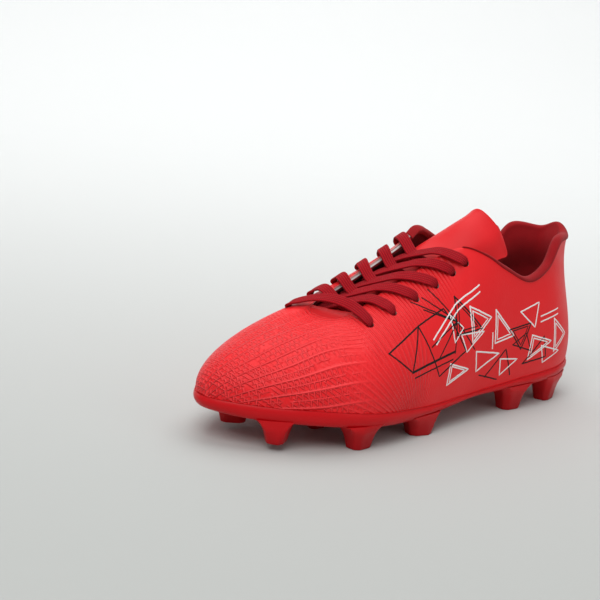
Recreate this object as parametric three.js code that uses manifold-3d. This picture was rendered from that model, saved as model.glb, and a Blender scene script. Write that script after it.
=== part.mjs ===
// Left soccer cleat for firm ground: a moulded sole with eleven blunt studs, a one-piece synthetic
// upper, a padded tongue and a flat lace. Millimetres, +Z up. The origin is on the ground under the
// middle of the shoe, the toe points to -Y, the heel to +Y and the outer (lateral) side to +X.
import * as THREE from "three";
import { LoftGeometry } from "three/addons/geometries/LoftGeometry.js";
import { ParametricGeometry } from "three/addons/geometries/ParametricGeometry.js";
import { mergeGeometries, mergeVertices } from "three/addons/utils/BufferGeometryUtils.js";
import Module from "manifold-3d";

// ---------------------------------------------------------------- driving dimensions
const HEEL_Y = 141.5; // y of the back of the last; every "back" value below is measured from it
const OFF_CENTRE = 1; // the ball bulges further to the outer side, so x = 0 lies this far outside the heel
const GAP = 0.3; // clearance between pieces that touch
const SHELL = 1.3; // upper skin
const BACKING = 1.0; // eyestay backing and toe puff
const COUNTER = 1.3; // heel counter
const FOAM = 4.4; // collar padding
const LINING = 0.8; // textile linings
const LIP_OUT = 1.8; // how far the sole's rim stands outside the upper
const LIP_GAP = 0.35; // between the rim and the upper
const STEP = 1; // spacing of the cross sections, in stations

const SHANK = 1.2;
const BOARD = 1.6;
const SOCK_FOAM = 3.0;
const SOCK_COVER = 0.8;
const SOLE_GAP = 0.5; // between the flat layers over the sole

const LACE_WIDTH = 7.4;
const LACE_THICK = 1.4;
const LACE_PINCH = 3.6; // width where the lace is gathered inside an eyelet
const EYELET_RADIUS = 3.2;
const ROWS = 6;
// Lowest and highest eyelet of each side as [station, place up the side]: 0 is the sole, 1 the throat.
const LATERAL_EYELETS = [[3.4, 0.73], [6.85, 0.88]];
const MEDIAL_EYELETS = [[25.7, 0.79], [21.5, 0.87]];

// ---------------------------------------------------------------- the last
// Stations round the shoe, from the toe tip along the lateral side to the heel and back along the
// medial side. Each has four points of a Bezier section: at the sole's rim, two controls, and the
// edge of the opening. A point is [x, distance forward of the back of the heel, z].
const STATIONS = [
  [[-9, 281.5, 28], [-9, 284, 46], [-6, 248, 60], [-4, 205, 68]], // toe tip
  [[7, 274.5, 27.5], [9, 276, 46], [7, 240, 61], [3, 202, 67.5]],
  [[27, 254, 26.5], [30, 255, 45], [19, 222, 63], [8.5, 197, 68.5]],
  [[43, 225, 25], [46, 225, 46], [26, 198, 67], [10, 184, 73.5]],
  [[49, 195, 22], [52, 193, 45], [32, 174, 73], [10.5, 168, 82]],
  [[43, 155, 18.6], [48, 154, 46], [35, 148, 80], [11, 148, 90.5]],
  [[37, 120, 18.6], [43, 122, 47], [37, 128, 83], [13, 128, 101]],
  [[34, 100, 19.2], [40, 106, 47], [38, 114, 86], [20, 116, 107]], // top of the lateral eyestay
  [[33, 82, 20.5], [38, 88, 46], [37, 98, 78], [26, 101, 102.5]],
  [[32, 62, 22], [38, 67, 46], [33, 78, 72], [28.5, 84, 93]],
  [[31, 44, 23], [37, 48, 46], [31, 56, 68], [29, 63, 84.2]], // lowest point of the collar
  [[28, 26, 24], [34, 28, 48], [27, 37, 74], [27, 45, 90.5]],
  [[20, 10, 25], [25, 10, 52], [18, 26, 82], [22, 31, 105]],
  [[11, 3.5, 26], [13, 0, 54], [11, 18, 84], [12, 14, 105.5]],
  [[0, 1.5, 26], [0, -3, 54], [0, 18, 86], [0, 8.5, 109]], // back of the heel
  [[-11, 3.5, 26], [-13, 0, 54], [-11, 18, 84], [-12, 14, 105.5]],
  [[-20, 10, 25], [-25, 10, 52], [-18, 26, 82], [-22, 31, 107]],
  [[-28, 26, 24], [-34, 28, 48], [-27, 37, 74], [-27, 43, 93]],
  [[-31, 44, 23], [-37, 48, 46], [-31, 56, 68], [-29, 62, 86.5]],
  [[-32, 62, 22], [-37, 67, 46], [-33, 78, 74], [-28.5, 84, 96]],
  [[-31, 82, 21], [-37, 88, 47], [-37, 98, 82], [-27, 103, 106]],
  [[-30, 100, 20.5], [-37, 106, 49], [-38, 116, 90], [-22, 118, 111]], // top of the medial eyestay
  [[-31, 125, 20], [-39, 127, 50], [-36, 134, 88], [-16, 134, 104]],
  [[-36, 156, 19.5], [-43, 156, 50], [-35, 154, 85], [-14.5, 153, 95]],
  [[-45, 192, 21], [-49, 190, 48], [-34, 177, 78], [-14, 172, 86]],
  [[-47, 222, 24], [-50, 220, 47], [-30, 204, 71], [-14, 188, 78.5]],
  [[-41, 250, 27], [-43, 249, 46], [-26, 228, 66], [-13, 200, 73]],
  [[-25, 271.5, 28], [-27, 273, 46], [-17, 242, 62], [-9.5, 206, 70]],
];
const COUNT = STATIONS.length;

// Height of the sole's upper face and of the lower edge of its side wall, along the shoe.
const PLATE_TOP = [
  [-5, 21.5], [30, 19], [62, 18.2], [90, 17.7], [120, 17.3], [150, 16.4],
  [175, 16.4], [200, 17.3], [225, 19.2], [254, 22], [270, 23.6], [290, 25.6],
];
const WALL_FOOT = [
  [-5, 19], [27, 17], [53, 16], [84, 15.9], [110, 15.2], [128, 13.6], [148, 12.2],
  [175, 12.3], [195, 13.6], [220, 15.6], [245, 17.4], [268, 19], [290, 22.4],
];

// ---------------------------------------------------------------- curves
function point([x, back, z]) {
  return new THREE.Vector3(x - OFF_CENTRE, HEEL_Y - back, z);
}

// Catmull-Rom weights of four neighbouring values.
function weights(k) {
  return [
    (-k + 2 * k * k - k ** 3) / 2,
    (2 - 5 * k * k + 3 * k ** 3) / 2,
    (k + 4 * k * k - 3 * k ** 3) / 2,
    (-k * k + k ** 3) / 2,
  ];
}

function blend(points, w) {
  const sum = new THREE.Vector3();
  points.forEach((p, i) => sum.addScaledVector(p, w[i]));
  return sum;
}

const RIBS = STATIONS.map((row) => row.map(point));

// The four Bezier points of the section at station s, which may be fractional.
function section(s) {
  const i = Math.floor(s);
  const w = weights(s - i);
  const rows = [-1, 0, 1, 2].map((k) => RIBS[(i + k + 2 * COUNT) % COUNT]);
  return [0, 1, 2, 3].map((c) => blend(rows.map((row) => row[c]), w));
}

function bezier(c, t) {
  const r = 1 - t;
  return blend(c, [r ** 3, 3 * t * r * r, 3 * t * t * r, t ** 3]);
}

// Smooth height profile through [distance forward of the heel, value] pairs.
function profile(table, y) {
  const back = HEEL_Y - y;
  let i = 1;
  while (i < table.length - 2 && back > table[i + 1][0]) i += 1;
  const [a, b, c] = table.slice(i - 1, i + 2);
  const d = table[Math.min(i + 2, table.length - 1)];
  const width = c[0] - b[0];
  const slope = (from, to) => (to[1] - from[1]) / (to[0] - from[0]);
  if (back < b[0]) return a[1] + slope(a, b) * (back - a[0]);
  if (i + 2 >= table.length) return b[1] + slope(b, c) * (back - b[0]);
  const k = (back - b[0]) / width;
  const slopeB = slope(a, c) * width;
  const slopeC = slope(b, d) * width;
  const k2 = k * k;
  const k3 = k2 * k;
  return (
    (2 * k3 - 3 * k2 + 1) * b[1] + (k3 - 2 * k2 + k) * slopeB + (3 * k2 - 2 * k3) * c[1] + (k3 - k2) * slopeC
  );
}

const plateTop = (y) => profile(PLATE_TOP, y);
const wallFoot = (y) => profile(WALL_FOOT, y);

// Level outward direction at the sole's rim.
function outward(s) {
  const along = section(s + 0.1)[0].sub(section(s - 0.1)[0]);
  return new THREE.Vector3(along.y, -along.x, 0).normalize();
}

// Outer face of the upper without its normal. Below t = 0 it runs straight down to the sole.
function face(s, t) {
  const c = section(s);
  if (t >= 0) return bezier(c, Math.min(t, 1));
  const foot = plateTop(c[0].y) + GAP;
  return new THREE.Vector3(c[0].x, c[0].y, c[0].z + (c[0].z - foot) * t);
}

function rise(s, t) {
  const c = section(s);
  if (t <= 0) return new THREE.Vector3(0, 0, 1);
  const k = Math.min(t, 0.999);
  return bezier(c, k + 0.001).sub(bezier(c, k - 0.001)).normalize();
}

function normal(s, t) {
  if (t <= 0) return outward(s);
  const k = Math.min(t, 1);
  const along = face(s + 0.02, k).sub(face(s - 0.02, k));
  return along.cross(rise(s, k)).normalize();
}

// A point of the upper: depth is how far inside the outer face, beyond how far past t up the side.
function skin(s, t, depth = 0, beyond = 0) {
  return face(s, t).addScaledVector(normal(s, t), -depth).addScaledVector(rise(s, t), beyond);
}

// A point at the height z, moved level from the rim of the upper: out is positive outwards.
function rim(s, out, z) {
  const p = section(s)[0].addScaledVector(outward(s), out);
  p.z = z(p.y, s);
  return p;
}

// The line down the middle of the sole that a ring of points closes on.
function spine(s, z) {
  const mid = section(s)[0].add(section(COUNT - s)[0]).multiplyScalar(0.5);
  const p = new THREE.Vector3(mid.x, mid.y * 0.8, 0);
  p.z = z(p.y, s);
  return p;
}

// ---------------------------------------------------------------- solids
const wasm = await Module();
wasm.setup();

function range(from, to, step = STEP) {
  const count = Math.round((to - from) / step);
  return Array.from({ length: count + 1 }, (_, i) => from + ((to - from) * i) / count);
}

const LOOP = range(0, COUNT);

function loft(sections) {
  return toSolid(new LoftGeometry(sections, { closed: true, capStart: false, capEnd: false }));
}

function patch(columns, rows, at) {
  const place = (u, v, target) => target.copy(at(Math.round(u * columns), Math.round(v * rows)));
  return new ParametricGeometry(place, columns, rows);
}

// A closed sheet between an outer and an inner face, each given as a function over two lists of
// values. Both faces are split along the same diagonals, so that neighbouring sheets lie parallel.
function sheet(along, up, outer, inner, isRing = false) {
  const last = along.length - 1;
  const top = up.length - 1;
  const station = (i) => along[isRing ? i % last : i];
  const faces = [
    patch(last, top, (i, j) => outer(station(i), up[j])),
    patch(top, last, (j, i) => inner(station(i), up[j])),
    patch(last, 1, (i, k) => (k ? inner : outer)(station(i), up[top])),
    patch(last, 1, (i, k) => (k ? outer : inner)(station(i), up[0])),
  ];
  if (!isRing) {
    faces.push(patch(1, top, (k, j) => (k ? outer : inner)(along[0], up[j])));
    faces.push(patch(top, 1, (j, k) => (k ? outer : inner)(along[last], up[j])));
  }
  return toSolid(mergeGeometries(faces));
}

// A layer of the upper between two depths.
function layer(stations, heights, outer, inner) {
  const isRing = stations === LOOP;
  const depth = typeof inner === "function" ? inner : () => inner;
  const outside = (s, t) => skin(s, t, outer);
  const inside = (s, t) => skin(s, t, depth(s, t));
  return sheet(stations, heights, outside, inside, isRing);
}

// A plate from rings of the sole's outline, closed on the spine at its lower and upper face.
function plate(lowest, rings, highest) {
  const round = LOOP.slice(0, -1);
  return loft([
    round.map((s) => spine(s, lowest)),
    ...rings.map(([out, z]) => round.map((s) => rim(s, out, z))),
    round.map((s) => spine(s, highest)),
  ]);
}

function toSolid(geometry) {
  const bare = new THREE.BufferGeometry();
  bare.setAttribute("position", geometry.getAttribute("position"));
  bare.setIndex(geometry.index);
  const merged = mergeVertices(bare, 1e-3);
  const flat = merged.index ? Array.from(merged.index.array) : [];
  const triVerts = [];
  for (let i = 0; i < flat.length; i += 3) {
    const [a, b, c] = flat.slice(i, i + 3);
    if (a !== b && b !== c && c !== a) triVerts.push(a, b, c);
  }
  return new wasm.Manifold(
    new wasm.Mesh({
      numProp: 3,
      vertProperties: merged.attributes.position.array,
      triVerts: new Uint32Array(triVerts),
    }),
  );
}

function toGeometry(solid) {
  const mesh = solid.getMesh();
  const geometry = new THREE.BufferGeometry();
  geometry.setAttribute("position", new THREE.BufferAttribute(mesh.vertProperties, 3));
  geometry.setIndex(new THREE.BufferAttribute(mesh.triVerts, 1));
  geometry.computeVertexNormals();
  return geometry;
}

const group = new THREE.Group();

function add(name, solid, colour, roughness = 0.6) {
  const material = new THREE.MeshStandardMaterial({ color: colour, roughness, metalness: 0 });
  const mesh = new THREE.Mesh(toGeometry(solid), material);
  mesh.name = name;
  group.add(mesh);
}

const RED = 0xd9282d;
const DARK_RED = 0xa01420;
const LACE_RED = 0x9d1a26;
const MAROON = 0x5c0f18;
const WHITE = 0xe8e4e0;
const GREY = 0x8a8784;

// ---------------------------------------------------------------- sole
// Studs: x, distance forward of the heel, height of the tip above the ground, size and turn.
const STUDS = [
  [22, 248, 4.5, 1, 35],
  [-19, 249, 4, 1, -35],
  [40, 202, 0, 1, 8],
  [-37, 204, 0, 1, -8],
  [2, 203, 0, 0.7, 0],
  [37, 153, 0, 1, -12],
  [-29, 158, 0, 1, 10],
  [24, 64, 0, 1, 0],
  [-24, 64, 0, 1, 0],
  [19, 26, 0, 1, 22],
  [-19, 26, 0, 1, -22],
];
const STUD_BASE = [9, 12]; // half width and half length where it meets the sole
const STUD_WAIST = [6.9, 9.2];
const STUD_TIP = [5.3, 7.2];
const STUD_CHAMFER = 0.42;

function studRing([half, length], z, size) {
  const w = half * size;
  const l = length * size;
  const c = 1 - STUD_CHAMFER;
  const side = [[w, -l * c], [w, l * c], [w * c, l], [-w * c, l]];
  const corners = [...side, ...side.map(([x, y]) => [-x, -y])];
  return corners.map(([x, y]) => new THREE.Vector3(x, y, z));
}

function stud([x, back, tip, size, turn]) {
  const y = HEEL_Y - back;
  const root = wallFoot(y) + 0.8;
  const rings = [
    studRing(STUD_TIP, tip, size),
    studRing(STUD_WAIST, tip + (root - tip) * 0.66, size),
    studRing(STUD_BASE, root, size),
  ];
  const geometry = new LoftGeometry(rings, { closed: true, capStart: true, capEnd: true });
  geometry.rotateZ(THREE.MathUtils.degToRad(turn));
  geometry.translate(x - OFF_CENTRE, y, 0);
  return toSolid(geometry);
}

function outsole() {
  const base = (y) => wallFoot(y) - 1.2;
  const top = (y, s) => section(s)[0].z;
  const wall = plate(
    base,
    [
      [LIP_OUT - 12, base],
      [LIP_OUT - 4.5, (y) => wallFoot(y) - 0.9],
      [LIP_OUT - 1.1, (y) => wallFoot(y) + 0.1],
      [LIP_OUT, (y) => wallFoot(y) + 1.4],
      [LIP_OUT, (y, s) => top(y, s) - 0.5],
      [LIP_OUT - 0.7, top],
      [LIP_GAP, top],
      [LIP_GAP, plateTop],
      [-10, plateTop],
    ],
    plateTop,
  );
  return STUDS.reduce((sole, row) => sole.add(stud(row)), wall);
}

const above = (offset) => (y) => plateTop(y) + offset;
const INSIDE = -(SHELL + COUNTER + LINING + 3 * GAP); // inner face of the linings at the sole
const BOARD_LOW = 2 * SOLE_GAP + SHANK;
const SOCK_LOW = BOARD_LOW + BOARD + SOLE_GAP;
const COVER_LOW = SOCK_LOW + SOCK_FOAM + SOLE_GAP;

// Stiffener between the sole and the lasting board, from the heel seat to behind the ball.
function shank() {
  const sections = range(58, 168, 10).map((back) => {
    const half = 9 + 3 * Math.cos(((back - 58) / 110) * Math.PI * 2);
    const y = HEEL_Y - back;
    const low = plateTop(y) + SOLE_GAP;
    const corners = [[-half, low], [half, low], [half, low + SHANK], [-half, low + SHANK]];
    return corners.map(([x, z]) => point([x, back, z]));
  });
  return toSolid(new LoftGeometry(sections, { closed: true, capStart: true, capEnd: true }));
}

function board() {
  const low = above(BOARD_LOW);
  const high = above(BOARD_LOW + BOARD);
  const out = INSIDE - GAP;
  return plate(low, [[out - 0.6, low], [out, (y) => low(y) + 0.5], [out, high]], high);
}

// The sockliner's edge stands up into a cup round the heel and the arch.
function cup(y) {
  return 4 + 5 * THREE.MathUtils.smoothstep(y, -40, 60);
}

function sockFoam() {
  const low = above(SOCK_LOW);
  const high = above(SOCK_LOW + SOCK_FOAM);
  const lip = (y) => low(y) + cup(y);
  const rings = [[-3.6, low], [-1, (y) => low(y) + 1.6], [-0.9, lip], [-2.1, lip], [-7.5, high]];
  return plate(low, rings.map(([out, z]) => [INSIDE + out, z]), high);
}

function sockCover() {
  const low = above(COVER_LOW);
  const high = above(COVER_LOW + SOCK_COVER);
  const lip = (y) => plateTop(y) + SOCK_LOW + cup(y) + SOLE_GAP;
  const rings = [[-9, low], [-3.3, lip], [-4.1, (y) => lip(y) + 0.2], [-9.6, high]];
  return plate(low, rings.map(([out, z]) => [INSIDE + out, z]), high);
}

// ---------------------------------------------------------------- upper
// Levels shared by all the layers of the upper, so that their facets lie parallel.
const SIDE_LEVELS = [-0.9, 0, 0.14, 0.28, 0.42, 0.56, 0.7, 0.85, 1];

function levels(from, to) {
  return SIDE_LEVELS.filter((t) => t >= from && t <= to);
}

const LATERAL = 0;
const MEDIAL = 1;
const EYELET_ENDS = [LATERAL_EYELETS, MEDIAL_EYELETS];

// Station and place up the side of a point on the line of eyelets, counted in rows.
function onRow(side, row) {
  const [low, high] = EYELET_ENDS[side];
  return [0, 1].map((i) => THREE.MathUtils.lerp(low[i], high[i], row / (ROWS - 1)));
}

const EYELETS = [LATERAL, MEDIAL].flatMap((side) => range(0, ROWS - 1, 1).map((row) => onRow(side, row)));

function punch(solid, depth) {
  let cut = solid;
  for (const [s, t] of EYELETS) {
    const direction = normal(s, t);
    const pin = new THREE.CylinderGeometry(EYELET_RADIUS, EYELET_RADIUS, 2 * depth, 10);
    const turn = new THREE.Quaternion().setFromUnitVectors(new THREE.Vector3(0, 1, 0), direction);
    pin.applyQuaternion(turn);
    const centre = skin(s, t);
    pin.translate(centre.x, centre.y, centre.z);
    cut = cut.subtract(toSolid(pin));
  }
  return cut;
}

function upperShell() {
  return punch(layer(LOOP, SIDE_LEVELS, 0, SHELL), 9);
}

const BEHIND_SHELL = SHELL + GAP;

function eyestayBacking(from, to) {
  return punch(layer(range(from, to), levels(0.56, 1), BEHIND_SHELL, BEHIND_SHELL + BACKING), 9);
}

function toePuff() {
  return layer(range(-4, 4), levels(0, 0.5), BEHIND_SHELL, BEHIND_SHELL + BACKING);
}

function heelCounter() {
  return layer(range(9, 19), levels(-1, 0.6), BEHIND_SHELL, BEHIND_SHELL + COUNTER);
}

// Lining of the forefoot, up to the throat edge.
const VAMP_DEPTH = BEHIND_SHELL + BACKING + GAP;

function vampLining() {
  return punch(layer([-7.95, ...range(-7, 7), 7.95], SIDE_LEVELS, VAMP_DEPTH, VAMP_DEPTH + LINING), 9);
}

// The collar padding grows from nothing at its lower edge and at its two front ends.
const COLLAR_ENDS = [8, 20];

function foamDepth(s, t) {
  const ends = Math.min(1, (s - COLLAR_ENDS[0]) / 1.5, (COLLAR_ENDS[1] - s) / 1.5);
  const height = THREE.MathUtils.smoothstep(t, 0.6, 0.85);
  return 0.8 + (FOAM - 0.8) * Math.max(0, ends) * height;
}

function collarFoam() {
  const inner = (s, t) => BEHIND_SHELL + foamDepth(s, t);
  return layer(range(...COLLAR_ENDS), levels(0.7, 1), BEHIND_SHELL, inner);
}

// The heel and collar lining rises inside the counter, passes over the padding and rolls outwards
// to lie on the top edge of the shell. The roll is listed as [upper face, under face] steps, each
// the depth and the height above the shell's edge.
function liningDepth(s, t) {
  const behindCounter = BEHIND_SHELL + COUNTER + GAP;
  return Math.max(behindCounter, BEHIND_SHELL + foamDepth(s, t) + GAP);
}

function rollSteps(s) {
  const under = liningDepth(s, 1);
  return [
    [[under + 0.4, 2], [under - 0.5, 1.2]],
    [[(under + LINING) / 2, 3.2], [1.5, 1]],
    [[0.6, 2.4], [0.1, 0.5]],
  ];
}

function collarLining() {
  const heights = [...SIDE_LEVELS, 2, 3, 4];
  const face = (side) => (s, t) => {
    if (t > 1) return skin(s, 1, ...rollSteps(s)[t - 2][side]);
    return skin(s, t, liningDepth(s, t) + (side === 0 ? LINING : 0));
  };
  return sheet(range(...COLLAR_ENDS), heights, face(1), face(0));
}

// Half-oval patch that closes the foot of the throat, stitched under the shell's edge.
const INSERT = 0.8;
const INSERT_BACK = 9.6; // how far the patch runs back from the throat's front edge
const INSERT_RISE = 3.1; // and how far it climbs on the way
const INSERT_MIDDLE = 1; // station where it is longest

function throatInsert() {
  const reach = (s) => 1 - ((s - INSERT_MIDDLE) / 3) ** 2;
  const at = (depth) => (s, k) => {
    const shift = new THREE.Vector3(0, INSERT_BACK, INSERT_RISE).multiplyScalar(reach(s) * k);
    return skin(s, 1, depth, -1.5).add(shift);
  };
  return sheet(range(-2, 2), [0, 1], at(BEHIND_SHELL), at(BEHIND_SHELL + INSERT));
}

// ---------------------------------------------------------------- tongue
const TONGUE_DEPTH = 8.6; // room under the upper's outer face for linings and lace
const TONGUE_SKIN = 0.9;
const TONGUE_FOAM = 3.2;
const TONGUE_ARCH = 3.6; // how far its middle stands over the line between the throat edges
// Rows under the eyestays, from the foot of the throat up: lateral and medial station, how far down
// the side the edge of the tongue reaches, and how much deeper the row lies.
const TONGUE_PAIRS = [
  [1.9, 26.4, 0.92, 0],
  [3, 25.4, 0.82, 0],
  [4, 24.3, 0.76, 0],
  [5, 23, 0.74, 0],
  [6, 22, 0.74, 0.4],
  [6.7, 21.5, 0.77, 2],
];
// Rows given as five points across, lateral edge to medial edge: the stitched foot and the free top.
const TONGUE_FOOT = [[[12, 203, 56.5], [7, 206, 58.5], [-3, 209, 59.5], [-11, 210, 59], [-16, 209, 57.5]]];
const TONGUE_TOP = [
  [[22, 88, 97], [17, 96, 109], [2, 103, 116], [-14, 98, 110], [-20.5, 90, 97]],
  [[20.5, 77, 99], [16.5, 85, 113.5], [3, 92, 123], [-13, 87, 114], [-19.5, 79, 99]],
  [[18, 74, 103], [14.5, 82, 117], [3.5, 88.5, 126], [-11, 84, 117.5], [-17, 76, 103]],
];

function tongueRow([lateral, medial, edge, deeper]) {
  const depth = TONGUE_DEPTH + deeper;
  const throatLateral = skin(lateral, 1, depth);
  const throatMedial = skin(medial, 1, depth);
  const centre = throatLateral.clone().add(throatMedial).multiplyScalar(0.5);
  centre.z += TONGUE_ARCH;
  return [skin(lateral, edge, depth), throatLateral, centre, throatMedial, skin(medial, edge, depth)];
}

const TONGUE_ROWS = [
  ...TONGUE_FOOT.map((row) => row.map(point)),
  ...TONGUE_PAIRS.map(tongueRow),
  ...TONGUE_TOP.map((row) => row.map(point)),
];

// A Catmull-Rom curve through open points, run on straight past both ends.
function through(points, k) {
  const last = points.length - 1;
  const i = Math.max(0, Math.min(last - 1, Math.floor(k)));
  const before = i > 0 ? points[i - 1] : points[0].clone().multiplyScalar(2).sub(points[1]);
  const after = i < last - 1 ? points[i + 2] : points[last].clone().multiplyScalar(2).sub(points[last - 1]);
  return blend([before, points[i], points[i + 1], after], weights(k - i));
}

// Outer face of the tongue: v counts rows from the foot, w counts points across.
function tongueFace(v, w) {
  const columns = [0, 1, 2, 3, 4].map((c) => through(TONGUE_ROWS.map((row) => row[c]), v));
  return through(columns, w);
}

// A point of the tongue at a depth below its outer face.
function tongue(v, w, depth) {
  const last = TONGUE_ROWS.length - 1;
  const upDown = tongueFace(Math.min(v + 0.05, last), w).sub(tongueFace(Math.max(v - 0.05, 0), w));
  const across = tongueFace(v, Math.min(w + 0.05, 4)).sub(tongueFace(v, Math.max(w - 0.05, 0)));
  const out = upDown.cross(across).normalize();
  return tongueFace(v, w).addScaledVector(out, -depth);
}

function tongueLayer(outer, inner, [from, to], margin) {
  const across = range(margin, 4 - margin, 0.5);
  const face = (depth) => (v, w) => tongue(v, w, depth);
  return sheet(range(from, to, 1), across, face(outer), face(inner));
}

// ---------------------------------------------------------------- lace
// The lace is one flat ribbon. A straight bar lies across the lowest eyelets; from there each half
// goes in, comes out from under the throat edge, crosses over and goes into the next eyelet of the
// other side. Past the top eyelets the ends are tucked between the linings and the tongue.
const SLANT = [-0.55, 0.55]; // stations from an eyelet to the throat edge straight inwards of it
const LACE_OVER = -2.2; // depth of the lace's middle where it lies on the upper
const LACE_UNDER = 6.15; // and where it lies against the lining
const LOOP_OUT = [0.2, 1.4]; // how much further out a strand bends over the throat edge, by side
const BAR_ARCH = 5.6; // how far the middle of the lowest strand stands over its ends
const TAIL_BELOW = 0.07; // how far below the line of eyelets a tail runs
const TAIL_END = 1.7; // row at which the lace stops and its tip begins
const AGLET_LENGTH = 20;
const AGLET_RADIUS = 1.1;
const UP_THE_THROAT = new THREE.Vector3(0, 0.9, 0.43);

// A point near the eyelets: v is the row, k goes from the eyelets (0) to the throat edge (1).
function place(side, v, k, depth, beyond = 0) {
  const [s, t] = onRow(side, v);
  return skin(s + SLANT[side] * Math.max(0, k), t + (1 - t) * k, depth, beyond);
}

// A point between the throat edges: f runs from the side the lace comes from, h is the height.
function between(side, f, v, h) {
  const from = place(side, v, 1, 0);
  const to = place(1 - side, v, 1, 0);
  return from.lerp(to, f).addScaledVector(new THREE.Vector3(0, -0.43, 0.9), h);
}

function key(p, width = LACE_WIDTH, across = UP_THE_THROAT) {
  return { p, width, across };
}

function intoEyelet(side, row) {
  return [
    key(place(side, row - 0.08, 0.72, LACE_OVER - LOOP_OUT[side])),
    key(place(side, row - 0.03, 0.4, LACE_OVER - LOOP_OUT[side] * 0.4)),
    key(place(side, row, 0.13, LACE_OVER), 6.2),
    key(place(side, row, 0, 0.9), LACE_PINCH),
    key(place(side, row, 0, 4.8), LACE_PINCH),
  ];
}

// From inside the eyelet of one side up to the next eyelet of the other side. The strand that goes
// to the lateral side lies on top of the one that goes to the medial side.
function crossing(side, row) {
  const rises = side === MEDIAL ? [-2.6, -0.6, 1, 2.3] : [-3.3, -2.3, 0.2, 3.8];
  return [
    key(place(side, row + 0.05, 0.4, LACE_UNDER + 0.4), 6.2),
    key(place(side, row + 0.16, 1, LACE_UNDER - 0.2, 0.5)),
    key(between(side, 0.27, row + 0.35, rises[0])),
    key(between(side, 0.5, row + 0.5, rises[1])),
    key(between(side, 0.74, row + 0.67, rises[2])),
    key(between(side, 0.93, row + 0.79, rises[3])),
    ...intoEyelet(1 - side, row + 1),
  ];
}

// Stops of a tail: row, place below the line of eyelets, depth below the lacing's, and width.
const TAIL_STOPS = [
  [4.85, 0.03, 0.9, 4.6],
  [4.4, TAIL_BELOW, 0.3, 6.6],
  [3.7, TAIL_BELOW, 0.3, 6.8],
  [3, TAIL_BELOW, 0.3, 6.8],
  [2.3, TAIL_BELOW, 0.3, 6.8],
  [TAIL_END, TAIL_BELOW, 0.3, 2.4],
];

function inTail(side, v, below, depth) {
  const [s, t] = onRow(side, v);
  return skin(s, t - below, depth);
}

function tail(side) {
  return TAIL_STOPS.map(([v, below, deeper, width], i) => {
    const above = inTail(side, v, TAIL_BELOW - 0.02, LACE_UNDER);
    const upTheSide = above.sub(inTail(side, v, TAIL_BELOW + 0.02, LACE_UNDER)).normalize();
    const across = UP_THE_THROAT.clone().lerp(upTheSide, Math.min(1, (i + 1) / 2)).normalize();
    return key(inTail(side, v, below, LACE_UNDER + deeper), width, across);
  });
}

// Half of the lace, from the middle of the bar to the end of its tail.
function halfLace(start) {
  const out = place(start, 0, 0.45, LACE_OVER);
  const far = place(1 - start, 0, 0.45, LACE_OVER);
  const bar = [0.5, 0.36, 0.22, 0.1].map((f) => {
    const p = out.clone().lerp(far, f);
    p.z += BAR_ARCH * 4 * f * (1 - f);
    return key(p);
  });
  const crossings = range(0, ROWS - 2, 1).map((row) => crossing(row % 2 ? 1 - start : start, row));
  const last = ROWS % 2 ? start : 1 - start;
  return [...bar, ...intoEyelet(start, 0).slice(2), ...crossings.flat(), ...tail(last)];
}

const LACE_KEYS = [...halfLace(MEDIAL).slice(1).reverse(), ...halfLace(LATERAL)];

// Flattened oval section of the ribbon. Its thickness grows where it is pinched.
function laceRing(k) {
  const at = (q) => through(LACE_KEYS.map((one) => one.p), q);
  const last = LACE_KEYS.length - 1;
  const i = Math.min(last - 1, Math.floor(k));
  const mix = k - i;
  const forward = at(Math.min(last, k + 0.05)).sub(at(Math.max(0, k - 0.05))).normalize();
  const wide = LACE_KEYS[i].across.clone().lerp(LACE_KEYS[i + 1].across, mix);
  wide.addScaledVector(forward, -wide.dot(forward)).normalize();
  const thick = forward.clone().cross(wide);
  const width = THREE.MathUtils.lerp(LACE_KEYS[i].width, LACE_KEYS[i + 1].width, mix);
  const height = LACE_THICK + (0.5 * (LACE_WIDTH - width)) / (LACE_WIDTH - LACE_PINCH);
  const corners = [[0.5, 0.5], [-0.5, 0.5], [-0.5, -0.5], [0.5, -0.5]];
  return corners.map(([a, b]) => at(k).addScaledVector(wide, a * width).addScaledVector(thick, b * height));
}

function lace() {
  const last = LACE_KEYS.length - 1;
  const sections = range(0, last, 1).map(laceRing);
  return toSolid(new LoftGeometry(sections, { closed: true, capStart: true, capEnd: true }));
}

// Moulded tip on the end of the lace.
function aglet(side) {
  const start = inTail(side, TAIL_END - 0.02, TAIL_BELOW, LACE_UNDER + 0.3);
  const end = inTail(side, TAIL_END - 1.2, TAIL_BELOW, LACE_UNDER + 0.3);
  const direction = end.clone().sub(start).normalize();
  const tube = new THREE.CylinderGeometry(AGLET_RADIUS, AGLET_RADIUS, AGLET_LENGTH, 10);
  tube.translate(0, AGLET_LENGTH / 2 + GAP, 0);
  tube.applyQuaternion(new THREE.Quaternion().setFromUnitVectors(new THREE.Vector3(0, 1, 0), direction));
  tube.translate(start.x, start.y, start.z);
  return toSolid(tube);
}

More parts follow.
